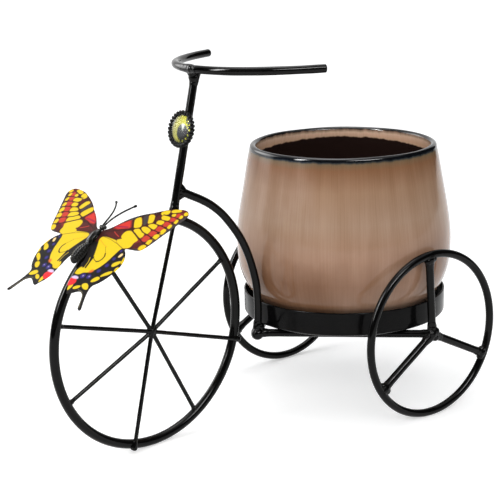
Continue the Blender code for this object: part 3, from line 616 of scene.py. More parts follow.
tray_profile = [(0.0, TRAY_WALL)] + corner(TRAY_RADIUS - TRAY_WALL, TRAY_WALL)[::-1]
for step in range(9):
    turn = math.pi * (1.0 - step / 8.0)
    tray_profile.append((TRAY_RADIUS - TRAY_WALL / 2.0 + TRAY_WALL / 2.0 * math.cos(turn),
                         TRAY_HEIGHT - TRAY_WALL / 2.0 + TRAY_WALL / 2.0 * math.sin(turn)))
tray_profile += [(TRAY_RADIUS, TRAY_HEIGHT * 0.65), (TRAY_RADIUS, TRAY_HEIGHT * 0.35)]
tray_profile += corner(TRAY_RADIUS, 0.0) + [(TRAY_RADIUS * 0.6, 0.0), (0.0, 0.0)]
work = spin_profile(tray_profile, 160, POT_X, tray_base)
unevenness(work, 0.03, 0.00015)
tray_paint = black_paint("tray_paint", 420.0, 0.00003, 0.10, 0.18, 0.07,
                         (0.0018, 0.0018, 0.0020), (0.0045, 0.0042, 0.0042))
put_up(work, "tray_dish", "stand", ["tray"], tray_paint)

# Pot: thrown stoneware with a bulging wall, a full round lip and a low foot ring.  Its tan glaze runs
# in fine upright streaks, turns brown near the top, and breaks to blue black over the lip.
POT_BELLY_RADIUS = 0.0913
POT_HEIGHT = 0.1441
POT_WALL = 0.0056
POT_FLOOR = 0.0070
pot_base = 0.0756
pot_wall_shares = ((0.0, 0.705), (0.020, 0.745), (0.058, 0.800), (0.114, 0.866), (0.169, 0.923),
                   (0.225, 0.960), (0.287, 0.985), (0.364, 0.998), (0.447, 1.0), (0.530, 0.990),
                   (0.627, 0.967), (0.725, 0.939), (0.829, 0.910), (0.912, 0.886), (0.980, 0.864))
outer_stops = [Vector((POT_BELLY_RADIUS * reach, POT_HEIGHT * height, 0.0))
               for height, reach in pot_wall_shares]
outer_wall = [(stop.x, stop.y) for stop in smooth_route(outer_stops, 3)]
inner_wall = [(radius - POT_WALL, height) for radius, height in outer_wall if height > POT_FLOOR + POT_WALL]
inner_foot = inner_wall[0][0]
lip_radius = POT_WALL / 2.0
lip_middle = outer_wall[-1][0] - lip_radius
pot_profile = [(0.0, POT_FLOOR), (inner_foot - 0.012, POT_FLOOR), (inner_foot - 0.004, POT_FLOOR + 0.0015)]
pot_profile += inner_wall[:-1]
for step in range(13):
    turn = math.pi * (1.0 - step / 12.0)
    pot_profile.append((lip_middle + lip_radius * math.cos(turn),
                        POT_HEIGHT - lip_radius + lip_radius * math.sin(turn)))
pot_profile += outer_wall[-2::-1]
foot_inside = outer_wall[0][0] - 0.006
pot_profile += [(foot_inside, 0.0), (foot_inside - 0.0015, 0.0015), (foot_inside * 0.5, 0.0015),
                (0.0, 0.0015)]
work = spin_profile(pot_profile, 180, POT_X, pot_base)
unevenness(work, 0.035, 0.00030)

pot_glaze, tree, shader, place = new_material("pot_glaze")
from_axis = add(tree, "ShaderNodeMapping", {"Vector": place, "Location": (-POT_X, 0.0, 0.0)}).outputs[0]
across, aside, height = add(tree, "ShaderNodeSeparateXYZ", {"Vector": from_axis}).outputs
level = add(tree, "ShaderNodeCombineXYZ", {0: across, 1: aside}).outputs[0]
bearing = add(tree, "ShaderNodeVectorMath", {0: level}, operation="NORMALIZE").outputs[0]
bearing_parts = add(tree, "ShaderNodeSeparateXYZ", {"Vector": bearing}).outputs


def mix_colours(tree, share, first, second, blend="MIX"):
    """Mix two colours, or multiply the first by the second."""
    made = add(tree, "ShaderNodeMix", {0: share, 6: first, 7: second}, data_type="RGBA", blend_type=blend)
    return made.outputs[2]


def streaks(fine, long, detail):
    """Mottling that is fine round the pot and long down its wall."""
    spread = add(tree, "ShaderNodeCombineXYZ", {0: calculate(tree, "MULTIPLY", bearing_parts[0], fine),
                                                1: calculate(tree, "MULTIPLY", bearing_parts[1], fine),
                                                2: calculate(tree, "MULTIPLY", height, long)})
    return mottle(tree, spread.outputs[0], 1.0, detail)


def waver(wave, width, base):
    """A value that wavers with a mottling, by half the width to each side."""
    return calculate(tree, "MULTIPLY_ADD", calculate(tree, "SUBTRACT", wave, 0.5), width, base)


def facing(direction):
    """1 where the wall faces a direction, and less further round."""
    feeds = {0: bearing, 1: direction}
    return add(tree, "ShaderNodeVectorMath", feeds, operation="DOT_PRODUCT").outputs["Value"]


hair = streaks(95.0, 16.0, 3.0)
drift = streaks(7.0, 14.0, 3.0)
clouds = mottle(tree, place, 22.0, 4.0)
down = calculate(tree, "SUBTRACT", pot_base + POT_HEIGHT, waver(streaks(16.0, 5.0, 2.0), 0.0020, height))
# Glaze colours going down from the lip; the darkening over the lower half of the wall is painted shade
wall_colour_and_low_shade = ramp(tree, calculate(tree, "DIVIDE", down, 0.16),
                   [(0.0, (0.003, 0.003, 0.004)), (0.018, (0.004, 0.005, 0.007)),
                    (0.0225, (0.030, 0.040, 0.042)), (0.030, (0.155, 0.105, 0.060)),
                    (0.060, (0.212, 0.106, 0.055)), (0.17, (0.305, 0.188, 0.118)),
                    (0.33, (0.346, 0.234, 0.163)), (0.50, (0.325, 0.192, 0.126)),
                    (0.64, (0.242, 0.132, 0.081)), (0.80, (0.250, 0.152, 0.102)),
                    (0.93, (0.235, 0.145, 0.098))])
hair_tone = ramp(tree, hair, [(0.28, (0.90, 0.88, 0.85)), (0.50, (1.0, 1.0, 1.0)),
                              (0.75, (1.09, 1.09, 1.10))])
drift_tone = ramp(tree, drift, [(0.32, (0.90, 0.86, 0.82)), (0.68, (1.07, 1.08, 1.10))])
cloud_tone = ramp(tree, clouds, [(0.35, (0.95, 0.93, 0.92)), (0.65, (1.04, 1.04, 1.04))])
outside_colour = wall_colour_and_low_shade
for strength, tint in ((0.7, hair_tone), (0.8, drift_tone), (0.8, cloud_tone)):
    outside_colour = mix_colours(tree, strength, outside_colour, tint, "MULTIPLY")
# Painted shade and reflection on the glaze: a darker patch of painted shade low on one side, and paler,
# greyer patches of painted reflection low on the next and up at the lip.
# Each patch has a direction, where it starts and is full round the pot, its heights and its tint.
rise = waver(clouds, 0.05, height)
for toward, low_end, high_end, full_height, last_height, tint in (
        ((-0.94, -0.34, 0.0), 0.86, 0.97, 0.042, 0.066, (0.75, 0.67, 0.58, 1.0)),
        ((-0.105, -0.995, 0.0), 0.90, 0.98, 0.042, 0.066, (1.16, 1.24, 1.32, 1.0)),
        ((-0.975, -0.222, 0.0), 0.90, 0.99, 0.130, 0.085, (1.22, 1.34, 1.55, 1.0))):
    round_pot = stretch(tree, facing(toward), low_end, high_end, interpolation_type="SMOOTHSTEP")
    up_wall = stretch(tree, rise, pot_base + last_height, pot_base + full_height)
    in_painted_light_patch = calculate(tree, "MULTIPLY", round_pot, up_wall)
    outside_colour = mix_colours(tree, in_painted_light_patch, outside_colour, tint, "MULTIPLY")
# Inside, the tan glaze is painted much lighter than outside, as painted light, and it stops some way down in
# an uneven edge, where a dark brown one goes on
far_right = facing((0.80, -0.60, 0.0))
right_share = calculate(tree, "MULTIPLY", far_right, far_right)
lower_edge = calculate(tree, "MULTIPLY_ADD", right_share, 0.0035, 0.0086)
inner_down = waver(streaks(4.0, 3.0, 1.0), 0.0018, down)
past_edge = stretch(tree, calculate(tree, "SUBTRACT", inner_down, lower_edge), -0.0006, 0.0006)
inner_tan_painted_light = ramp(tree, calculate(tree, "DIVIDE", down, 0.02),
                 [(0.0, (0.004, 0.004, 0.005)), (0.08, (0.010, 0.009, 0.009)), (0.15, (0.34, 0.22, 0.15)),
                  (0.24, (0.74, 0.50, 0.36)), (0.45, (0.66, 0.41, 0.27))])
inner_tan_painted_light = mix_colours(tree, 0.8, inner_tan_painted_light, hair_tone, "MULTIPLY")
inside_colour = mix_colours(tree, past_edge, inner_tan_painted_light, (0.017, 0.0090, 0.0075, 1.0))
# A point is on the inner wall if it is nearer the axis than the middle of the wall at its height
wall_share = calculate(tree, "DIVIDE", calculate(tree, "SUBTRACT", height, pot_base), POT_HEIGHT)
wall_reach = add(tree, "ShaderNodeFloatCurve", {"Value": wall_share})
curve = wall_reach.mapping.curves[0]
curve.points[0].location = (0.0, pot_wall_shares[0][1])
curve.points[1].location = (1.0, 0.860)
for share, radius_share in pot_wall_shares[2:-1:2]:
    curve.points.new(share, radius_share)
wall_reach.mapping.update()
wall_middle = calculate(tree, "MULTIPLY_ADD", wall_reach.outputs[0], POT_BELLY_RADIUS, -POT_WALL / 2.0)
is_inside = calculate(tree, "LESS_THAN", length_of(tree, level), wall_middle)
glaze_colour = mix_colours(tree, is_inside, outside_colour, inside_colour)
# The foot ring was wiped clean before firing, so bare clay shows there
foot_bare = calculate(tree, "LESS_THAN", height, pot_base + 0.0012)
clay = ramp(tree, mottle(tree, place, 900.0, 3.0), [(0.3, (0.30, 0.22, 0.16)), (0.7, (0.42, 0.32, 0.24))])
glaze_rough = stretch(tree, drift, 0.3, 0.7, 0.07, 0.14)
dress(tree, shader, mix_colours(tree, foot_bare, glaze_colour, clay),
      calculate(tree, "MULTIPLY_ADD", foot_bare, 0.5, glaze_rough),
      calculate(tree, "MULTIPLY_ADD", hair, 0.25, mottle(tree, place, 240.0, 2.0)), 0.00003, 0.24)
put_up(work, "glazed_pot", "pot", ["pot"], pot_glaze)

# Headlamp: a crimped black bezel with a roped edge, a printed paper disc and a clear glass dome.  It is
# fixed on the front of the stem by its back plate.
ROPE_STRANDS = 27
ROPE_LEAN = math.radians(38.0)
CLAWS = 12
DISC_SCALE = 0.0116
DISC_SEAT = 0.0012
DOME_SEAT = 0.0028
DOME_RADIUS = 0.0115
DOME_RISE = 0.0020
DOME_INNER_RADIUS = 0.0111
DOME_INNER_RISE = 0.0016
lamp_back = 0.0033
lamp_centre = stem_base + stem_axis * 0.0665
lamp_turn = Matrix((stem_axis.cross(stem_front), stem_axis, stem_front)).transposed().to_4x4()
lamp_place = Matrix.Translation(lamp_centre) @ lamp_turn
lamp_metal = black_paint("lamp_metal", 900.0, 0.00002, 0.06, 0.12, 0.11,
                         (0.0016, 0.0016, 0.0016), (0.0040, 0.0036, 0.0036))


def lumps_round(work, count, start, rows, shape):
    """Set small lumps in a ring, each made of rows of faces and pressed to a shape."""
    for number in range(count):
        lump = bmesh.ops.create_uvsphere(work, u_segments=10, v_segments=rows, radius=0.001)["verts"]
        angle = 2.0 * math.pi * (number + start) / count
        bmesh.ops.transform(work, matrix=Matrix.Rotation(angle, 4, "Z") @ shape, verts=lump)


work = spin_profile([(0.0, 0.0), (0.0122, 0.0), (0.0129, 0.0006), (0.0130, 0.0026), (0.0126, 0.0033),
                     (0.0121, 0.0036), (0.0117, 0.0034), (0.0115, 0.0026), (0.0114, 0.0011), (0.0, 0.0011)],
                    96, 0.0, lamp_back)
strand_shape = (Matrix.Translation((0.0131, 0.0, lamp_back + 0.0022))
                @ Matrix.Rotation(ROPE_LEAN, 4, "X") @ Matrix.Diagonal((1.85, 1.36, 2.5, 1.0)))
claw_shape = Matrix.Translation((0.0114, 0.0, lamp_back + 0.0034)) @ Matrix.Diagonal((1.1, 0.9, 0.55, 1.0))
lumps_round(work, ROPE_STRANDS, 0.0, 8, strand_shape)
lumps_round(work, CLAWS, 0.5, 6, claw_shape)
bmesh.ops.transform(work, matrix=lamp_place, verts=work.verts)
put_up(work, "lamp_bezel", "stand", ["headlamp_bezel", "headlamp_back_plate"], lamp_metal)

work = spin_profile([(0.0, 0.0), (0.0112, 0.0), (0.0113, 0.0006), (0.0056, 0.0006), (0.0, 0.0006)],
                    64, 0.0, lamp_back + DISC_SEAT)
flat_map = work.loops.layers.uv.new("print_map")
for face in work.faces:
    for loop in face.loops:
        loop[flat_map].uv = (loop.vert.co.x / DISC_SCALE, loop.vert.co.y / DISC_SCALE)
bmesh.ops.transform(work, matrix=lamp_place, verts=work.verts)
lamp_print, tree, shader, place = new_material("lamp_print")
on_disc = add(tree, "ShaderNodeUVMap", {}, uv_map="print_map").outputs[0]
right, up, _ = add(tree, "ShaderNodeSeparateXYZ", {"Vector": on_disc}).outputs
disc_reach = length_of(tree, on_disc)
yellow = ramp(tree, calculate(tree, "MULTIPLY_ADD", right, 0.5, 0.5),
              [(0.1, (0.235, 0.215, 0.075)), (0.5, (0.28, 0.26, 0.035)), (0.9, (0.40, 0.40, 0.012))])
grain_tone = ramp(tree, mottle(tree, on_disc, 9.0, 4.0),
                  [(0.35, (0.86, 0.86, 0.80)), (0.65, (1.05, 1.05, 1.10))])
yellow = mix_colours(tree, 1.0, yellow, grain_tone, "MULTIPLY")
# A black band of scallops with a row of yellow dots runs down the right side
disc_turn = calculate(tree, "ARCTAN2", up, right)
scallop = calculate(tree, "COSINE", calculate(tree, "MULTIPLY", disc_turn, 15.0))
band_reach = calculate(tree, "MULTIPLY_ADD", scallop, 0.045, disc_reach)
in_band = calculate(tree, "GREATER_THAN", band_reach, 0.62)
dot_reach = calculate(tree, "ABSOLUTE", calculate(tree, "SUBTRACT", disc_reach, 0.80))
is_dot = calculate(tree, "GREATER_THAN", calculate(tree, "MULTIPLY_ADD", dot_reach, -9.0, scallop), 0.0)
in_band = calculate(tree, "MULTIPLY", in_band, calculate(tree, "SUBTRACT", 1.0, is_dot))
on_right = stretch(tree, calculate(tree, "MULTIPLY_ADD", up, -0.35, right), 0.02, 0.14)
in_band = calculate(tree, "MULTIPLY", in_band, on_right)
disc_colour = mix_colours(tree, in_band, yellow, (0.006, 0.006, 0.005, 1.0))
# A dark oval spot lies low on the disc; a painted highlight lightens it towards its top and lays a pale wedge
# on it that points up
spot_map = {"Vector": on_disc, "Location": (-0.20, 0.33, 0.0), "Scale": (1.85, 1.75, 1.0)}
spot_reach = length_of(tree, add(tree, "ShaderNodeMapping", spot_map).outputs[0])
in_spot = stretch(tree, spot_reach, 0.92, 1.06, 1.0, 0.0)
spot_and_highlight = ramp(tree, calculate(tree, "MULTIPLY_ADD", up, 0.92, 0.60),
                 [(0.0, (0.004, 0.004, 0.006)), (0.45, (0.018, 0.017, 0.022)),
                  (0.75, (0.045, 0.045, 0.050)), (1.0, (0.11, 0.11, 0.10))])
beside = calculate(tree, "ABSOLUTE", calculate(tree, "SUBTRACT", right, 0.10))
painted_highlight_wedge = calculate(tree, "MULTIPLY_ADD", beside, -4.6, calculate(tree, "MULTIPLY_ADD", up, 2.1, 0.50))
spot_and_highlight = mix_colours(tree, stretch(tree, painted_highlight_wedge, 0.0, 0.9), spot_and_highlight, (0.52, 0.52, 0.50, 1.0))
disc_colour = mix_colours(tree, in_spot, disc_colour, spot_and_highlight)
edge_dark = ramp(tree, disc_reach, [(0.0, (1.0, 1.0, 1.0)), (0.915, (1.0, 1.0, 1.0)),
                                    (0.935, (0.01, 0.01, 0.01)), (1.0, (0.01, 0.01, 0.01))])
dress(tree, shader, mix_colours(tree, 1.0, disc_colour, edge_dark, "MULTIPLY"), gloss=0.10)
shader.inputs["Roughness"].default_value = 0.45
put_up(work, "lamp_disc", "stand", ["headlamp_print"], lamp_print)

dome_profile = []
for step in range(17):
    out = step / 16.0
    dome_profile.append((DOME_RADIUS * out, 0.0004 + DOME_RISE * (1.0 - out * out)))
dome_profile += [(DOME_RADIUS, 0.0), (DOME_INNER_RADIUS, 0.0)]
for step in range(16, -1, -1):
    out = step / 16.0
    dome_profile.append((DOME_INNER_RADIUS * out, 0.0002 + DOME_INNER_RISE * (1.0 - out * out)))
work = spin_profile(dome_profile, 72, 0.0, lamp_back + DOME_SEAT)
bmesh.ops.transform(work, matrix=lamp_place, verts=work.verts)
lamp_glass, tree, shader, place = new_material("lamp_glass")
dress(tree, shader, rough=stretch(tree, mottle(tree, place, 260.0, 3.0), 0.3, 0.7, 0.0, 0.012))
shader.inputs["Base Color"].default_value = (0.96, 0.98, 0.95, 1.0)
shader.inputs["Transmission Weight"].default_value = 1.0
shader.inputs["IOR"].default_value = 1.10
dome = put_up(work, "lamp_dome", "stand", ["headlamp_glass"], lamp_glass)
dome.visible_shadow = False

# Butterfly: a moulded black body with two printed plastic wings of a swallowtail, thin wire antennae
# and a small magnet under its belly that holds it on the front rim.
BUTTERFLY_DIRECTION = 123.3
heading_angle = math.radians(BUTTERFLY_DIRECTION) - math.pi / 2.0 + math.radians(0.9)
butterfly_yaw = math.radians(3.4)
butterfly_roll = math.radians(-2.6)
MAGNET_SEAT = 0.0009 + 0.0003
BODY_SEAT = 0.0020 + 0.0003
body_height = MAGNET_SEAT + BODY_SEAT
butterfly_centre = on_front_wheel(BUTTERFLY_DIRECTION, FRONT_RIM_RADIUS + FRONT_ROD_RADIUS + body_height)
heading = wheel_back * math.cos(heading_angle) + UP * math.sin(heading_angle)
rising = UP * math.cos(heading_angle) - wheel_back * math.sin(heading_angle)
ahead_axis = heading * math.cos(butterfly_yaw) + wheel_side * math.sin(butterfly_yaw)
level_side = wheel_side * math.cos(butterfly_yaw) - heading * math.sin(butterfly_yaw)
upward = rising * math.cos(butterfly_roll) + level_side * math.sin(butterfly_roll)
sideways = level_side * math.cos(butterfly_roll) - rising * math.sin(butterfly_roll)
butterfly_place = (Matrix.Translation(butterfly_centre)
                   @ Matrix((ahead_axis, sideways, upward)).transposed().to_4x4())
body_stops = ((0.0, 0.0), (0.008, 0.34), (0.045, 0.56), (0.125, 0.74), (0.240, 0.80), (0.350, 0.75),
              (0.420, 0.57), (0.450, 0.53), (0.485, 0.62), (0.600, 0.88), (0.720, 1.0), (0.830, 0.97),
              (0.920, 0.78), (0.975, 0.46), (1.0, 0.0))
BODY_LENGTH = 0.0348
BODY_FRONT = 0.0144
BODY_RADIUS = 0.0047
RING_COUNT = 8.0
RING_START = 0.50
RING_SPAN = 0.46
RING_DEPTH = 0.00085
body_profile = []
for stop in smooth_route([Vector((share, radius, 0.0)) for share, radius in body_stops], 14):
    radius = max(0.0, stop.y) * BODY_RADIUS
    if RING_START < stop.x < RING_START + RING_SPAN:
        ring_share = RING_COUNT * (stop.x - RING_START) / RING_SPAN
        radius += RING_DEPTH * abs(math.sin(math.pi * ring_share)) - 0.00055
    body_profile.append((radius, BODY_FRONT - BODY_LENGTH * stop.x))
work = spin_profile(body_profile, 48, 0.0, 0.0)
lying_down = Matrix.Rotation(math.pi / 2.0, 3, "Y")
bmesh.ops.rotate(work, cent=(0.0, 0.0, 0.0), matrix=lying_down, verts=work.verts)
work.normal_update()
for vert in work.verts:
    share = (BODY_FRONT - vert.co.x) / BODY_LENGTH
    ridge = max(0.0, 1.0 - abs(share - 0.24) / 0.20)
    turn = math.atan2(vert.co.y, vert.co.z)
    vert.co += vert.normal * (0.00022 * ridge * math.cos(9.0 * turn + 5.0 * share))
bmesh.ops.bisect_plane(work, geom=work.verts[:] + work.edges[:] + work.faces[:],
                       plane_co=(0.0, 0.0, -0.0009), plane_no=(0.0, 0.0, -1.0), clear_outer=True)
bmesh.ops.holes_fill(work, edges=[edge for edge in work.edges if edge.is_boundary])
bmesh.ops.transform(work, matrix=butterfly_place, verts=work.verts)
body_plastic, tree, shader, place = new_material("body_plastic")
patchy = mottle(tree, place, 180.0, 3.0)
dress(tree, shader, ramp(tree, patchy, [(0.3, (0.003, 0.003, 0.003)), (0.7, (0.009, 0.009, 0.008))]),
      stretch(tree, patchy, 0.3, 0.7, 0.13, 0.24), mottle(tree, place, 1400.0, 3.0), 0.00002, 0.15)
put_up(work, "butterfly_trunk", "butterfly", ["butterfly_body"], body_plastic)

HEAD_RADIUS = 0.0020
EYE_RADIUS = 0.0015
head_x = BODY_FRONT + 0.0003 + HEAD_RADIUS
work = bmesh.new()
head_shape = Matrix.Translation((head_x, 0.0, 0.0)) @ Matrix.Diagonal((1.0, 1.25, 1.0, 1.0))
bmesh.ops.create_uvsphere(work, u_segments=24, v_segments=16, radius=HEAD_RADIUS, matrix=head_shape)
for sign in (-1.0, 1.0):
    bmesh.ops.create_uvsphere(work, u_segments=20, v_segments=14, radius=EYE_RADIUS,
                              matrix=Matrix.Translation((head_x + 0.00075, sign * 0.00205, 0.0)))
bmesh.ops.transform(work, matrix=butterfly_place, verts=work.verts)
put_up(work, "butterfly_eyes", "butterfly", ["butterfly_head"], body_plastic)
ANTENNA_REACH = 0.0281
ANTENNA_RADIUS = 0.00066
ANTENNA_TIP_RADIUS = 0.00056
antenna_shares = ((0.025, 0.028, 0.018), (0.185, 0.046, 0.014), (0.399, 0.082, -0.007),
                  (0.648, 0.164, -0.043), (0.861, 0.285, -0.071), (1.025, 0.416, -0.085))
for side, sign in (("near", -1.0), ("far", 1.0)):
    stops = [Vector((head_x + ANTENNA_REACH * along, sign * ANTENNA_REACH * out, ANTENNA_REACH * high))
             for along, out, high in antenna_shares]
    route = smooth_route(stops, 5)
    radii = [ANTENNA_RADIUS] * len(route)
    for index, swell in ((-4, 1.2), (-3, 1.7), (-2, 1.9), (-1, 1.1)):
        radii[index] = ANTENNA_TIP_RADIUS * swell
    work = bmesh.new()
    pull_rod(work, route, radii, 12)
    bmesh.ops.transform(work, matrix=butterfly_place, verts=work.verts)
    put_up(work, f"feeler_{side}", "butterfly", [f"antenna_{side}"], body_plastic)

# Wings: thin printed plastic sheet.  The print is worked out from the outlines of the cells, bands and
# spots of a swallowtail's wing, in millimetres out from the body and ahead of its middle.
WING_REACH = 67.0
WING_THICKNESS = 0.0006
HINDWING_TOP = 3.4
wing_shares = ((0.205, 0.030), (0.257, 0.107), (0.310, 0.158), (0.396, 0.248), (0.475, 0.355), (0.545, 0.440),
               (0.604, 0.530), (0.657, 0.627), (0.704, 0.731), (0.724, 0.821), (0.734, 0.896), (0.725, 0.958),
               (0.687, 1.0), (0.627, 1.006), (0.537, 0.970), (0.442, 0.931), (0.328, 0.881), (0.209, 0.833),
               (0.127, 0.794), (0.084, 0.761), (0.066, 0.704), (0.060, 0.627), (0.048, 0.546), (0.0, 0.591),
               (-0.052, 0.630), (-0.112, 0.660), (-0.191, 0.670), (-0.261, 0.657), (-0.336, 0.637),
               (-0.403, 0.606), (-0.463, 0.567), (-0.510, 0.521), (-0.567, 0.516), (-0.657, 0.543),
               (-0.754, 0.588), (-0.828, 0.625), (-0.849, 0.616), (-0.836, 0.582), (-0.758, 0.546),
               (-0.672, 0.501), (-0.636, 0.455), (-0.627, 0.409), (-0.654, 0.355), (-0.690, 0.307),
               (-0.696, 0.272), (-0.657, 0.242), (-0.600, 0.197), (-0.546, 0.169), (-0.463, 0.155),
               (-0.358, 0.146), (-0.266, 0.140), (-0.167, 0.110), (-0.075, 0.070), (0.0, 0.040))
wing_stops = [Vector((WING_REACH * out, WING_REACH * along, 0.0)) for along, out in wing_shares]
wing_line = smooth_route(wing_stops + wing_stops[:1], 4)[:-1]
wing_outline = [(stop.x, stop.y) for stop in wing_line]
YELLOW = (0.77, 0.54, 0.011)
CORAL = (0.52, 0.040, 0.022)
MAROON = (0.078, 0.009, 0.008)
DARK_RED = (0.19, 0.019, 0.014)
BROWN = (0.036, 0.006, 0.005)
RUST = (0.20, 0.045, 0.010)
RED = (0.62, 0.034, 0.024)
WINE = (0.36, 0.014, 0.045)
SLATE = (0.045, 0.038, 0.036)
INK = (0.0050, 0.0035, 0.0035)
BLUE = (0.030, 0.022, 0.19)
LILAC = (0.66, 0.52, 0.76)
SCARLET = (0.80, 0.022, 0.030)
ORANGE = (0.80, 0.16, 0.02)
BUFF = (0.90, 0.62, 0.28)
OLIVE = (0.16, 0.14, 0.09)
# Each shape of the print: colour, softness of its edge, corners
print_shapes = (
    (RED, 2.2, ((10.6, 18.6), (14.0, 23.8), (20.6, 29.6), (22.4, 27.5), (26.4, 22.0), (20.0, 20.0),
                (14.6, 18.4))),
    (MAROON, 1.5, ((7.0, 12.5), (11.0, 18.6), (16.0, 18.4), (12.0, 15.2), (9.0, 11.5))),
    (MAROON, 0.9, ((9.0, 11.0), (12.5, 15.2), (19.5, 18.4), (23.3, 18.2), (23.2, 13.2), (25.6, 11.6),
                   (21.5, 9.6))),
    (YELLOW, 0.5, ((23.7, 31.2), (27.0, 34.0), (29.3, 32.4), (34.0, 27.0), (33.2, 24.4), (29.6, 23.0),
                   (26.4, 27.0))),
    (SLATE, 0.9, ((28.8, 35.4), (32.8, 37.9), (37.3, 29.8), (35.8, 26.8), (33.0, 30.4))),
    (YELLOW, 0.5, ((33.4, 37.9), (38.2, 38.9), (41.0, 34.0), (41.2, 30.6), (38.0, 30.2), (35.8, 34.2))),
    (MAROON, 0.9, ((41.5, 39.6), (45.0, 40.0), (45.2, 36.6), (43.5, 33.6), (41.8, 36.0))),
    (YELLOW, 0.4, ((42.4, 43.2), (47.6, 46.0), (49.6, 44.6), (49.0, 41.6), (45.8, 40.2), (43.0, 41.2))),
    (YELLOW, 0.4, ((50.2, 46.5), (54.0, 48.0), (58.4, 48.6), (58.8, 46.4), (55.5, 44.9), (51.0, 44.7))),
    (YELLOW, 0.4, ((63.2, 47.4), (65.8, 47.2), (67.0, 45.4), (65.4, 44.2), (63.4, 45.0))),
    (YELLOW, 0.5, ((53.2, 43.9), (56.4, 43.8), (56.5, 41.4), (54.0, 41.0))),
    (YELLOW, 0.5, ((45.2, 38.8), (47.6, 40.4), (53.2, 39.9), (54.2, 37.8), (52.8, 36.3), (48.6, 36.2))),
    (YELLOW, 0.5, ((44.8, 33.8), (47.2, 35.4), (51.0, 35.0), (51.6, 33.2), (50.4, 31.4), (46.2, 31.4))),
    (YELLOW, 0.5, ((39.4, 29.0), (43.4, 30.7), (47.8, 30.2), (48.4, 27.8), (47.4, 25.9), (42.5, 26.9))),
    (YELLOW, 0.5, ((35.2, 25.2), (39.0, 26.7), (45.2, 25.1), (45.7, 22.4), (44.6, 20.4), (39.8, 22.0))),
    (YELLOW, 0.5, ((30.4, 21.6), (33.0, 23.4), (36.6, 22.6), (42.4, 20.0), (43.2, 17.8), (41.6, 15.4),
                   (33.0, 19.2))),
    (YELLOW, 0.5, ((24.6, 18.4), (28.4, 19.9), (31.0, 18.8), (40.8, 14.0), (41.4, 12.8), (39.6, 10.4),
                   (40.0, 6.0), (38.0, 4.4), (34.2, 3.4), (30.0, 5.0), (22.0, 8.6), (27.6, 11.4),
                   (24.6, 12.6), (24.0, 15.0))),
    (CORAL, 0.8, ((57.4, 44.9), (61.0, 44.4), (61.0, 41.6), (58.2, 41.2))),
    (CORAL, 0.8, ((54.8, 41.0), (60.2, 40.8), (59.6, 37.0), (55.4, 36.6))),
    (CORAL, 0.8, ((52.8, 35.8), (58.6, 36.0), (57.6, 31.0), (52.6, 31.2))),
    (CORAL, 0.8, ((49.8, 30.2), (56.0, 30.4), (55.0, 25.0), (49.6, 25.2))),
    (CORAL, 0.8, ((46.8, 24.6), (52.8, 24.6), (52.4, 19.8), (47.0, 19.4))),
    (CORAL, 0.8, ((44.4, 19.0), (50.8, 18.6), (49.8, 13.8), (44.8, 13.2))),
    (MAROON, 0.9, ((42.4, 11.8), (48.2, 12.0), (47.2, 5.6), (41.6, 5.4))),
    (YELLOW, 0.5, ((61.2, 43.8), (63.9, 43.4), (63.8, 40.8), (61.8, 40.2))),
    (YELLOW, 0.5, ((60.6, 39.2), (62.9, 38.6), (62.6, 35.0), (60.4, 35.4))),
    (YELLOW, 0.5, ((58.0, 33.6), (61.0, 33.2), (60.5, 29.3), (58.0, 29.8))),
    (YELLOW, 0.5, ((55.4, 28.4), (59.1, 28.2), (58.6, 23.3), (55.3, 23.7))),
    (YELLOW, 0.5, ((52.8, 22.2), (57.4, 22.4), (56.5, 17.3), (52.6, 17.7))),
    (YELLOW, 0.5, ((50.8, 16.0), (54.5, 16.4), (53.9, 10.9), (51.0, 11.1))),
    (YELLOW, 0.5, ((48.2, 9.2), (51.2, 10.8), (53.5, 9.4), (51.6, 5.4), (47.8, 5.9))),
)
hind_shapes = (
    (YELLOW, 0.5, ((8.2, 9.4), (6.2, 6.4), (9.0, 1.6), (12.2, -4.6), (14.8, -10.0), (15.2, -14.0),
                   (15.6, -21.0), (14.4, -21.6), (11.0, -21.4), (9.4, -27.0), (11.0, -28.8), (15.4, -28.2),
                   (17.4, -25.7), (22.0, -24.7), (26.0, -20.7), (28.6, -16.6), (30.6, -10.6), (31.1, -6.6),
                   (31.9, -3.0), (32.6, 1.0), (34.4, 4.2), (30.0, 6.0), (24.0, 8.4), (16.0, 9.2))),
    (BUFF, 0.6, ((37.4, -0.8), (39.4, -2.2), (38.3, -5.4), (36.1, -5.2))),
    (YELLOW, 0.6, ((36.4, -12.6), (38.4, -9.8), (42.2, -7.8), (43.3, -9.4), (41.2, -13.0), (38.4, -15.0))),
    (YELLOW, 0.7, ((42.0, -3.4), (44.6, -6.0), (45.4, -10.4), (43.8, -10.4), (42.6, -7.0))),
    (YELLOW, 0.6, ((34.8, -24.7), (36.8, -21.3), (41.0, -18.2), (42.9, -18.7), (41.6, -21.6),
                   (38.0, -24.0), (35.8, -25.7))),
    (YELLOW, 0.7, ((42.6, -14.6), (45.4, -13.0), (44.8, -18.0), (43.2, -18.0))),
    (YELLOW, 0.5, ((29.9, -30.6), (31.8, -26.7), (34.6, -25.7), (36.9, -27.4), (34.2, -30.8), (31.3, -32.1))),
    (YELLOW, 0.5, ((25.2, -35.2), (28.4, -33.6), (31.8, -35.3), (33.8, -38.9), (30.4, -39.4), (26.3, -37.5))),
    (YELLOW, 0.5, ((19.2, -40.2), (21.8, -37.8), (25.4, -37.0), (24.8, -39.7), (20.8, -41.9))),
    (YELLOW, 0.5, ((14.2, -39.2), (17.4, -37.4), (18.2, -40.2), (16.8, -44.2), (15.4, -42.6))),
    (SCARLET, 0.5, ((9.4, -33.6), (12.0, -32.0), (16.2, -32.6), (18.2, -35.0), (17.2, -38.4),
                    (14.0, -40.2), (11.2, -39.0), (9.4, -36.0))),
    (LILAC, 0.8, ((10.6, -31.2), (13.0, -30.1), (16.6, -30.6), (17.6, -32.4), (13.6, -32.9),
                  (10.4, -32.6))),
    (ORANGE, 1.5, ((22.0, -22.4), (24.0, -20.8), (25.6, -22.4), (23.4, -24.4), (21.8, -24.4))),
)
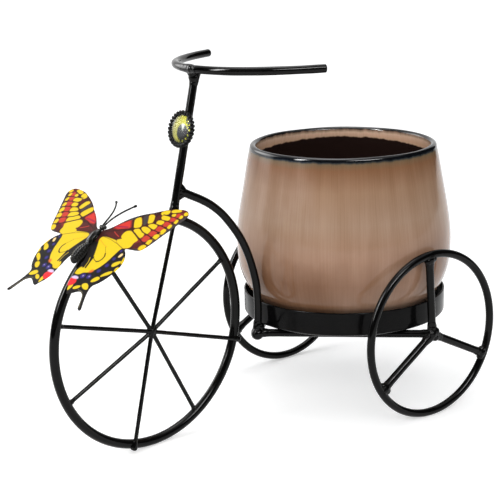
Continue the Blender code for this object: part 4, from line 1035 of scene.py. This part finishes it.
# Round spots of the print: colour, softness, centre, radius
print_spots = (
    (BLUE, 1.3, (34.4, -7.6), 1.3), (BLUE, 1.3, (33.1, -14.6), 1.6), (BLUE, 1.3, (29.9, -21.0), 1.6),
    (BLUE, 1.2, (25.4, -27.9), 1.9), (BLUE, 1.2, (19.6, -28.7), 2.2), (BLUE, 1.5, (35.0, 0.6), 0.9),
    (LILAC, 1.4, (19.8, -28.5), 0.3), (LILAC, 1.4, (25.7, -27.7), 0.2),
)
# Lines of the print: colour, half width, corners
print_lines = (
    (BROWN, 0.56, ((7.0, 13.6), (13.0, 16.6), (20.0, 19.6), (28.8, 22.2), (33.6, 24.2), (38.0, 28.6),
                   (42.0, 31.2))),
    (BROWN, 0.42, ((38.4, 28.0), (43.0, 26.4), (47.6, 25.3), (56.0, 24.3))),
    (BROWN, 0.46, ((34.4, 24.4), (39.6, 21.4), (46.0, 20.0), (57.0, 16.9))),
    (BROWN, 0.56, ((29.4, 20.6), (35.0, 18.0), (41.8, 14.8), (46.0, 13.0), (54.0, 10.8))),
    (BROWN, 0.42, ((44.0, 31.2), (50.0, 30.8), (60.0, 29.2))),
    (BROWN, 0.42, ((46.0, 35.8), (53.0, 36.0), (62.4, 34.9))),
    (BROWN, 0.42, ((45.6, 41.0), (54.0, 40.8), (63.4, 40.2))),
    (BROWN, 0.46, ((48.0, 41.0), (55.0, 44.6), (61.8, 47.4))),
    (WINE, 0.80, ((12.0, 20.6), (17.0, 21.6), (23.0, 22.4))),
    (CORAL, 0.30, ((14.6, 15.6), (18.0, 13.9), (22.0, 12.4))),
    (BROWN, 0.16, ((8.6, 9.2), (17.0, 8.2), (27.0, 5.6), (33.4, 3.4))),
    (ORANGE, 0.10, ((8.4, 5.4), (14.0, 2.6), (19.0, 0.8))),
    (INK, 0.12, ((18.0, 0.8), (20.4, -2.2), (22.8, -4.8))),
    (INK, 0.55, ((22.8, -5.0), (24.3, -7.6), (24.2, -10.4), (22.9, -13.0), (20.8, -13.9))),
    (INK, 0.28, ((20.8, -13.9), (17.6, -12.7), (14.6, -10.6))),
    (INK, 0.55, ((11.3, -11.6), (12.6, -15.8), (13.2, -21.6))),
    (INK, 0.65, ((15.0, -10.6), (15.3, -15.4), (15.9, -21.4))),
    (YELLOW, 0.22, ((12.4, -12.0), (14.0, -16.0), (14.4, -21.0))),
    (OLIVE, 0.28, ((26.0, -41.0), (30.4, -41.8), (34.0, -44.8), (37.2, -51.0), (39.4, -55.0))),
)
dark_band = ((43.0, 12.0), (46.0, 18.0), (50.0, 26.0), (54.0, 34.0), (57.5, 41.0), (60.5, 46.0))


def rounded(corners, rounds):
    """Cut the corners of a closed outline, round after round."""
    points = np.array(corners, float)
    for _ in range(rounds):
        following = np.roll(points, -1, axis=0)
        near_start = points * 0.75 + following * 0.25
        near_end = points * 0.25 + following * 0.75
        points = np.stack([near_start, near_end], 1).reshape(-1, 2)
    return points


def distance_to_line(places, points, closed):
    """Distance of each place to a line of points."""
    starts = points if closed else points[:-1]
    ends = np.roll(points, -1, axis=0) if closed else points[1:]
    best = np.full(len(places), 1e9)
    for start, end in zip(starts, ends):
        span = end - start
        share = np.clip(((places - start) @ span) / max(span @ span, 1e-9), 0.0, 1.0)
        best = np.minimum(best, np.hypot(*(places - start - share[:, None] * span).T))
    return best


def within(places, points):
    """Which places lie inside a closed outline."""
    inside = np.zeros(len(places), bool)
    for start, end in zip(points, np.roll(points, -1, axis=0)):
        crosses = (start[1] > places[:, 1]) != (end[1] > places[:, 1])
        if abs(end[1] - start[1]) > 1e-12:
            edge_x = start[0] + (places[:, 1] - start[1]) * (end[0] - start[0]) / (end[1] - start[1])
            inside ^= crosses & (places[:, 0] < edge_x)
    return inside


def lay(colours, colour, cover):
    """Lay one ink over the print, with its cover at each place."""
    return colours * (1.0 - cover[:, None]) + np.array(colour) * cover[:, None]


def soft_cover(distance, softness):
    """Full inside an edge, none outside it, and soft between."""
    return np.clip(0.5 - distance / softness, 0.0, 1.0)


def printed_colours(places):
    """Colours of the wing's print at places in millimetres."""
    colours = np.tile(np.array(BROWN), (len(places), 1))
    # The forewing has a dark red band and a slate fringe, and the hindwing's ground is black
    from_band = distance_to_line(places, np.array(dark_band), False)
    colours = lay(colours, DARK_RED, np.clip(1.4 - from_band / 3.2, 0.0, 1.0))
    from_edge = distance_to_line(places, np.array(wing_outline), True)
    fringe = soft_cover(from_edge - 2.4, 1.2) * soft_cover(44.0 - places[:, 0], 6.0)
    fringe = fringe * (places[:, 1] < places[:, 0] * 1.6 - 62.0)
    colours = lay(colours, SLATE, fringe)
    colours = lay(colours, INK, soft_cover(places[:, 1] - HINDWING_TOP, 0.8))
    for shapes in (hind_shapes, print_shapes):
        on_forewing = shapes is print_shapes
        for colour, softness, corners in shapes:
            points = rounded(corners, 1 if on_forewing else 2)
            distance = distance_to_line(places, points, True)
            signed = np.where(within(places, points), -distance, distance)
            growth = 0.32 if colour in (YELLOW, CORAL) and on_forewing else 0.1
            if colour == YELLOW and on_forewing:
                colours = lay(colours, RUST, 0.8 * soft_cover(signed - growth - 0.35, 0.9))
            colours = lay(colours, colour, soft_cover(signed - growth, softness))
    for colour, softness, centre, radius in print_spots:
        distance = np.hypot(*(places - np.array(centre)).T) - radius
        colours = lay(colours, colour, soft_cover(distance, softness))
    for colour, half_width, corners in print_lines:
        distance = distance_to_line(places, np.array(corners, float), False) - half_width
        colours = lay(colours, colour, soft_cover(distance, 0.45))
    return colours


wing_print, tree, shader, place = new_material("wing_print")
ink = add(tree, "ShaderNodeVertexColor", {}, layer_name="print_ink").outputs["Color"]
dot_tone = ramp(tree, mottle(tree, place, 2600.0, 2.0),
                [(0.30, (0.90, 0.88, 0.86)), (0.60, (1.03, 1.03, 1.03))])
film = mottle(tree, place, 120.0, 3.0)
dress(tree, shader, mix_colours(tree, 0.7, ink, dot_tone, "MULTIPLY"),
      stretch(tree, film, 0.3, 0.7, 0.42, 0.56), film, 0.0002, 0.04)
for side, sign in (("near", -1.0), ("far", 1.0)):
    work = bmesh.new()
    edge_verts = [work.verts.new((along / 1000.0, out / 1000.0, 0.0)) for out, along in wing_outline]
    work.faces.new(edge_verts).normal_update()
    bmesh.ops.triangulate(work, faces=work.faces[:])
    for longest in (0.012, 0.006, 0.003, 0.0016, 0.0009, 0.00055):
        for _ in range(3):
            long_edges = [edge for edge in work.edges if edge.calc_length() > longest]
            if not long_edges:
                break
            bmesh.ops.subdivide_edges(work, edges=long_edges, cuts=1)
            bmesh.ops.triangulate(work, faces=[face for face in work.faces if len(face.verts) > 3])
            inner_edges = [edge for edge in work.edges if not edge.is_boundary]
            bmesh.ops.beautify_fill(work, faces=work.faces[:], edges=inner_edges)
    ink_layer = work.verts.layers.float_color.new("print_ink")
    work.verts.ensure_lookup_table()
    places = np.array([(vert.co.y * 1000.0, vert.co.x * 1000.0) for vert in work.verts])
    for vert, colour in zip(work.verts, printed_colours(places)):
        vert[ink_layer] = (*colour, 1.0)
    bmesh.ops.scale(work, vec=(1.0, sign, 1.0), verts=work.verts)
    bmesh.ops.recalc_face_normals(work, faces=work.faces)
    bmesh.ops.translate(work, vec=(0.0, 0.0, -WING_THICKNESS / 2.0), verts=work.verts)
    sheet = bmesh.ops.extrude_face_region(work, geom=work.faces[:])["geom"]
    top_verts = [item for item in sheet if isinstance(item, bmesh.types.BMVert)]
    bmesh.ops.translate(work, vec=(0.0, 0.0, WING_THICKNESS), verts=top_verts)
    tilt = Matrix.Rotation(sign * math.radians(-1.5), 4, "X")
    bmesh.ops.transform(work, matrix=butterfly_place @ tilt, verts=work.verts)
    wing = put_up(work, f"printed_wing_{side}", "butterfly", [f"wing_{side}"], wing_print)
    wing.data.set_sharp_from_angle(angle=math.radians(40.0))

# Magnet: a small plated disc glued under the belly, which holds the butterfly on the front rim.  It is
# the CAD solid with a plated, lightly scuffed finish.
magnet_plating, tree, shader, place = new_material("magnet_plating")
scuffs = mottle(tree, place, 900.0, 4.0)
dress(tree, shader, ramp(tree, scuffs, [(0.3, (0.38, 0.38, 0.40)), (0.7, (0.55, 0.55, 0.56))]),
      stretch(tree, scuffs, 0.3, 0.7, 0.2, 0.42))
shader.inputs["Metallic"].default_value = 1.0
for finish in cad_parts["butterfly_magnet"].material_slots:
    finish.material = magnet_plating
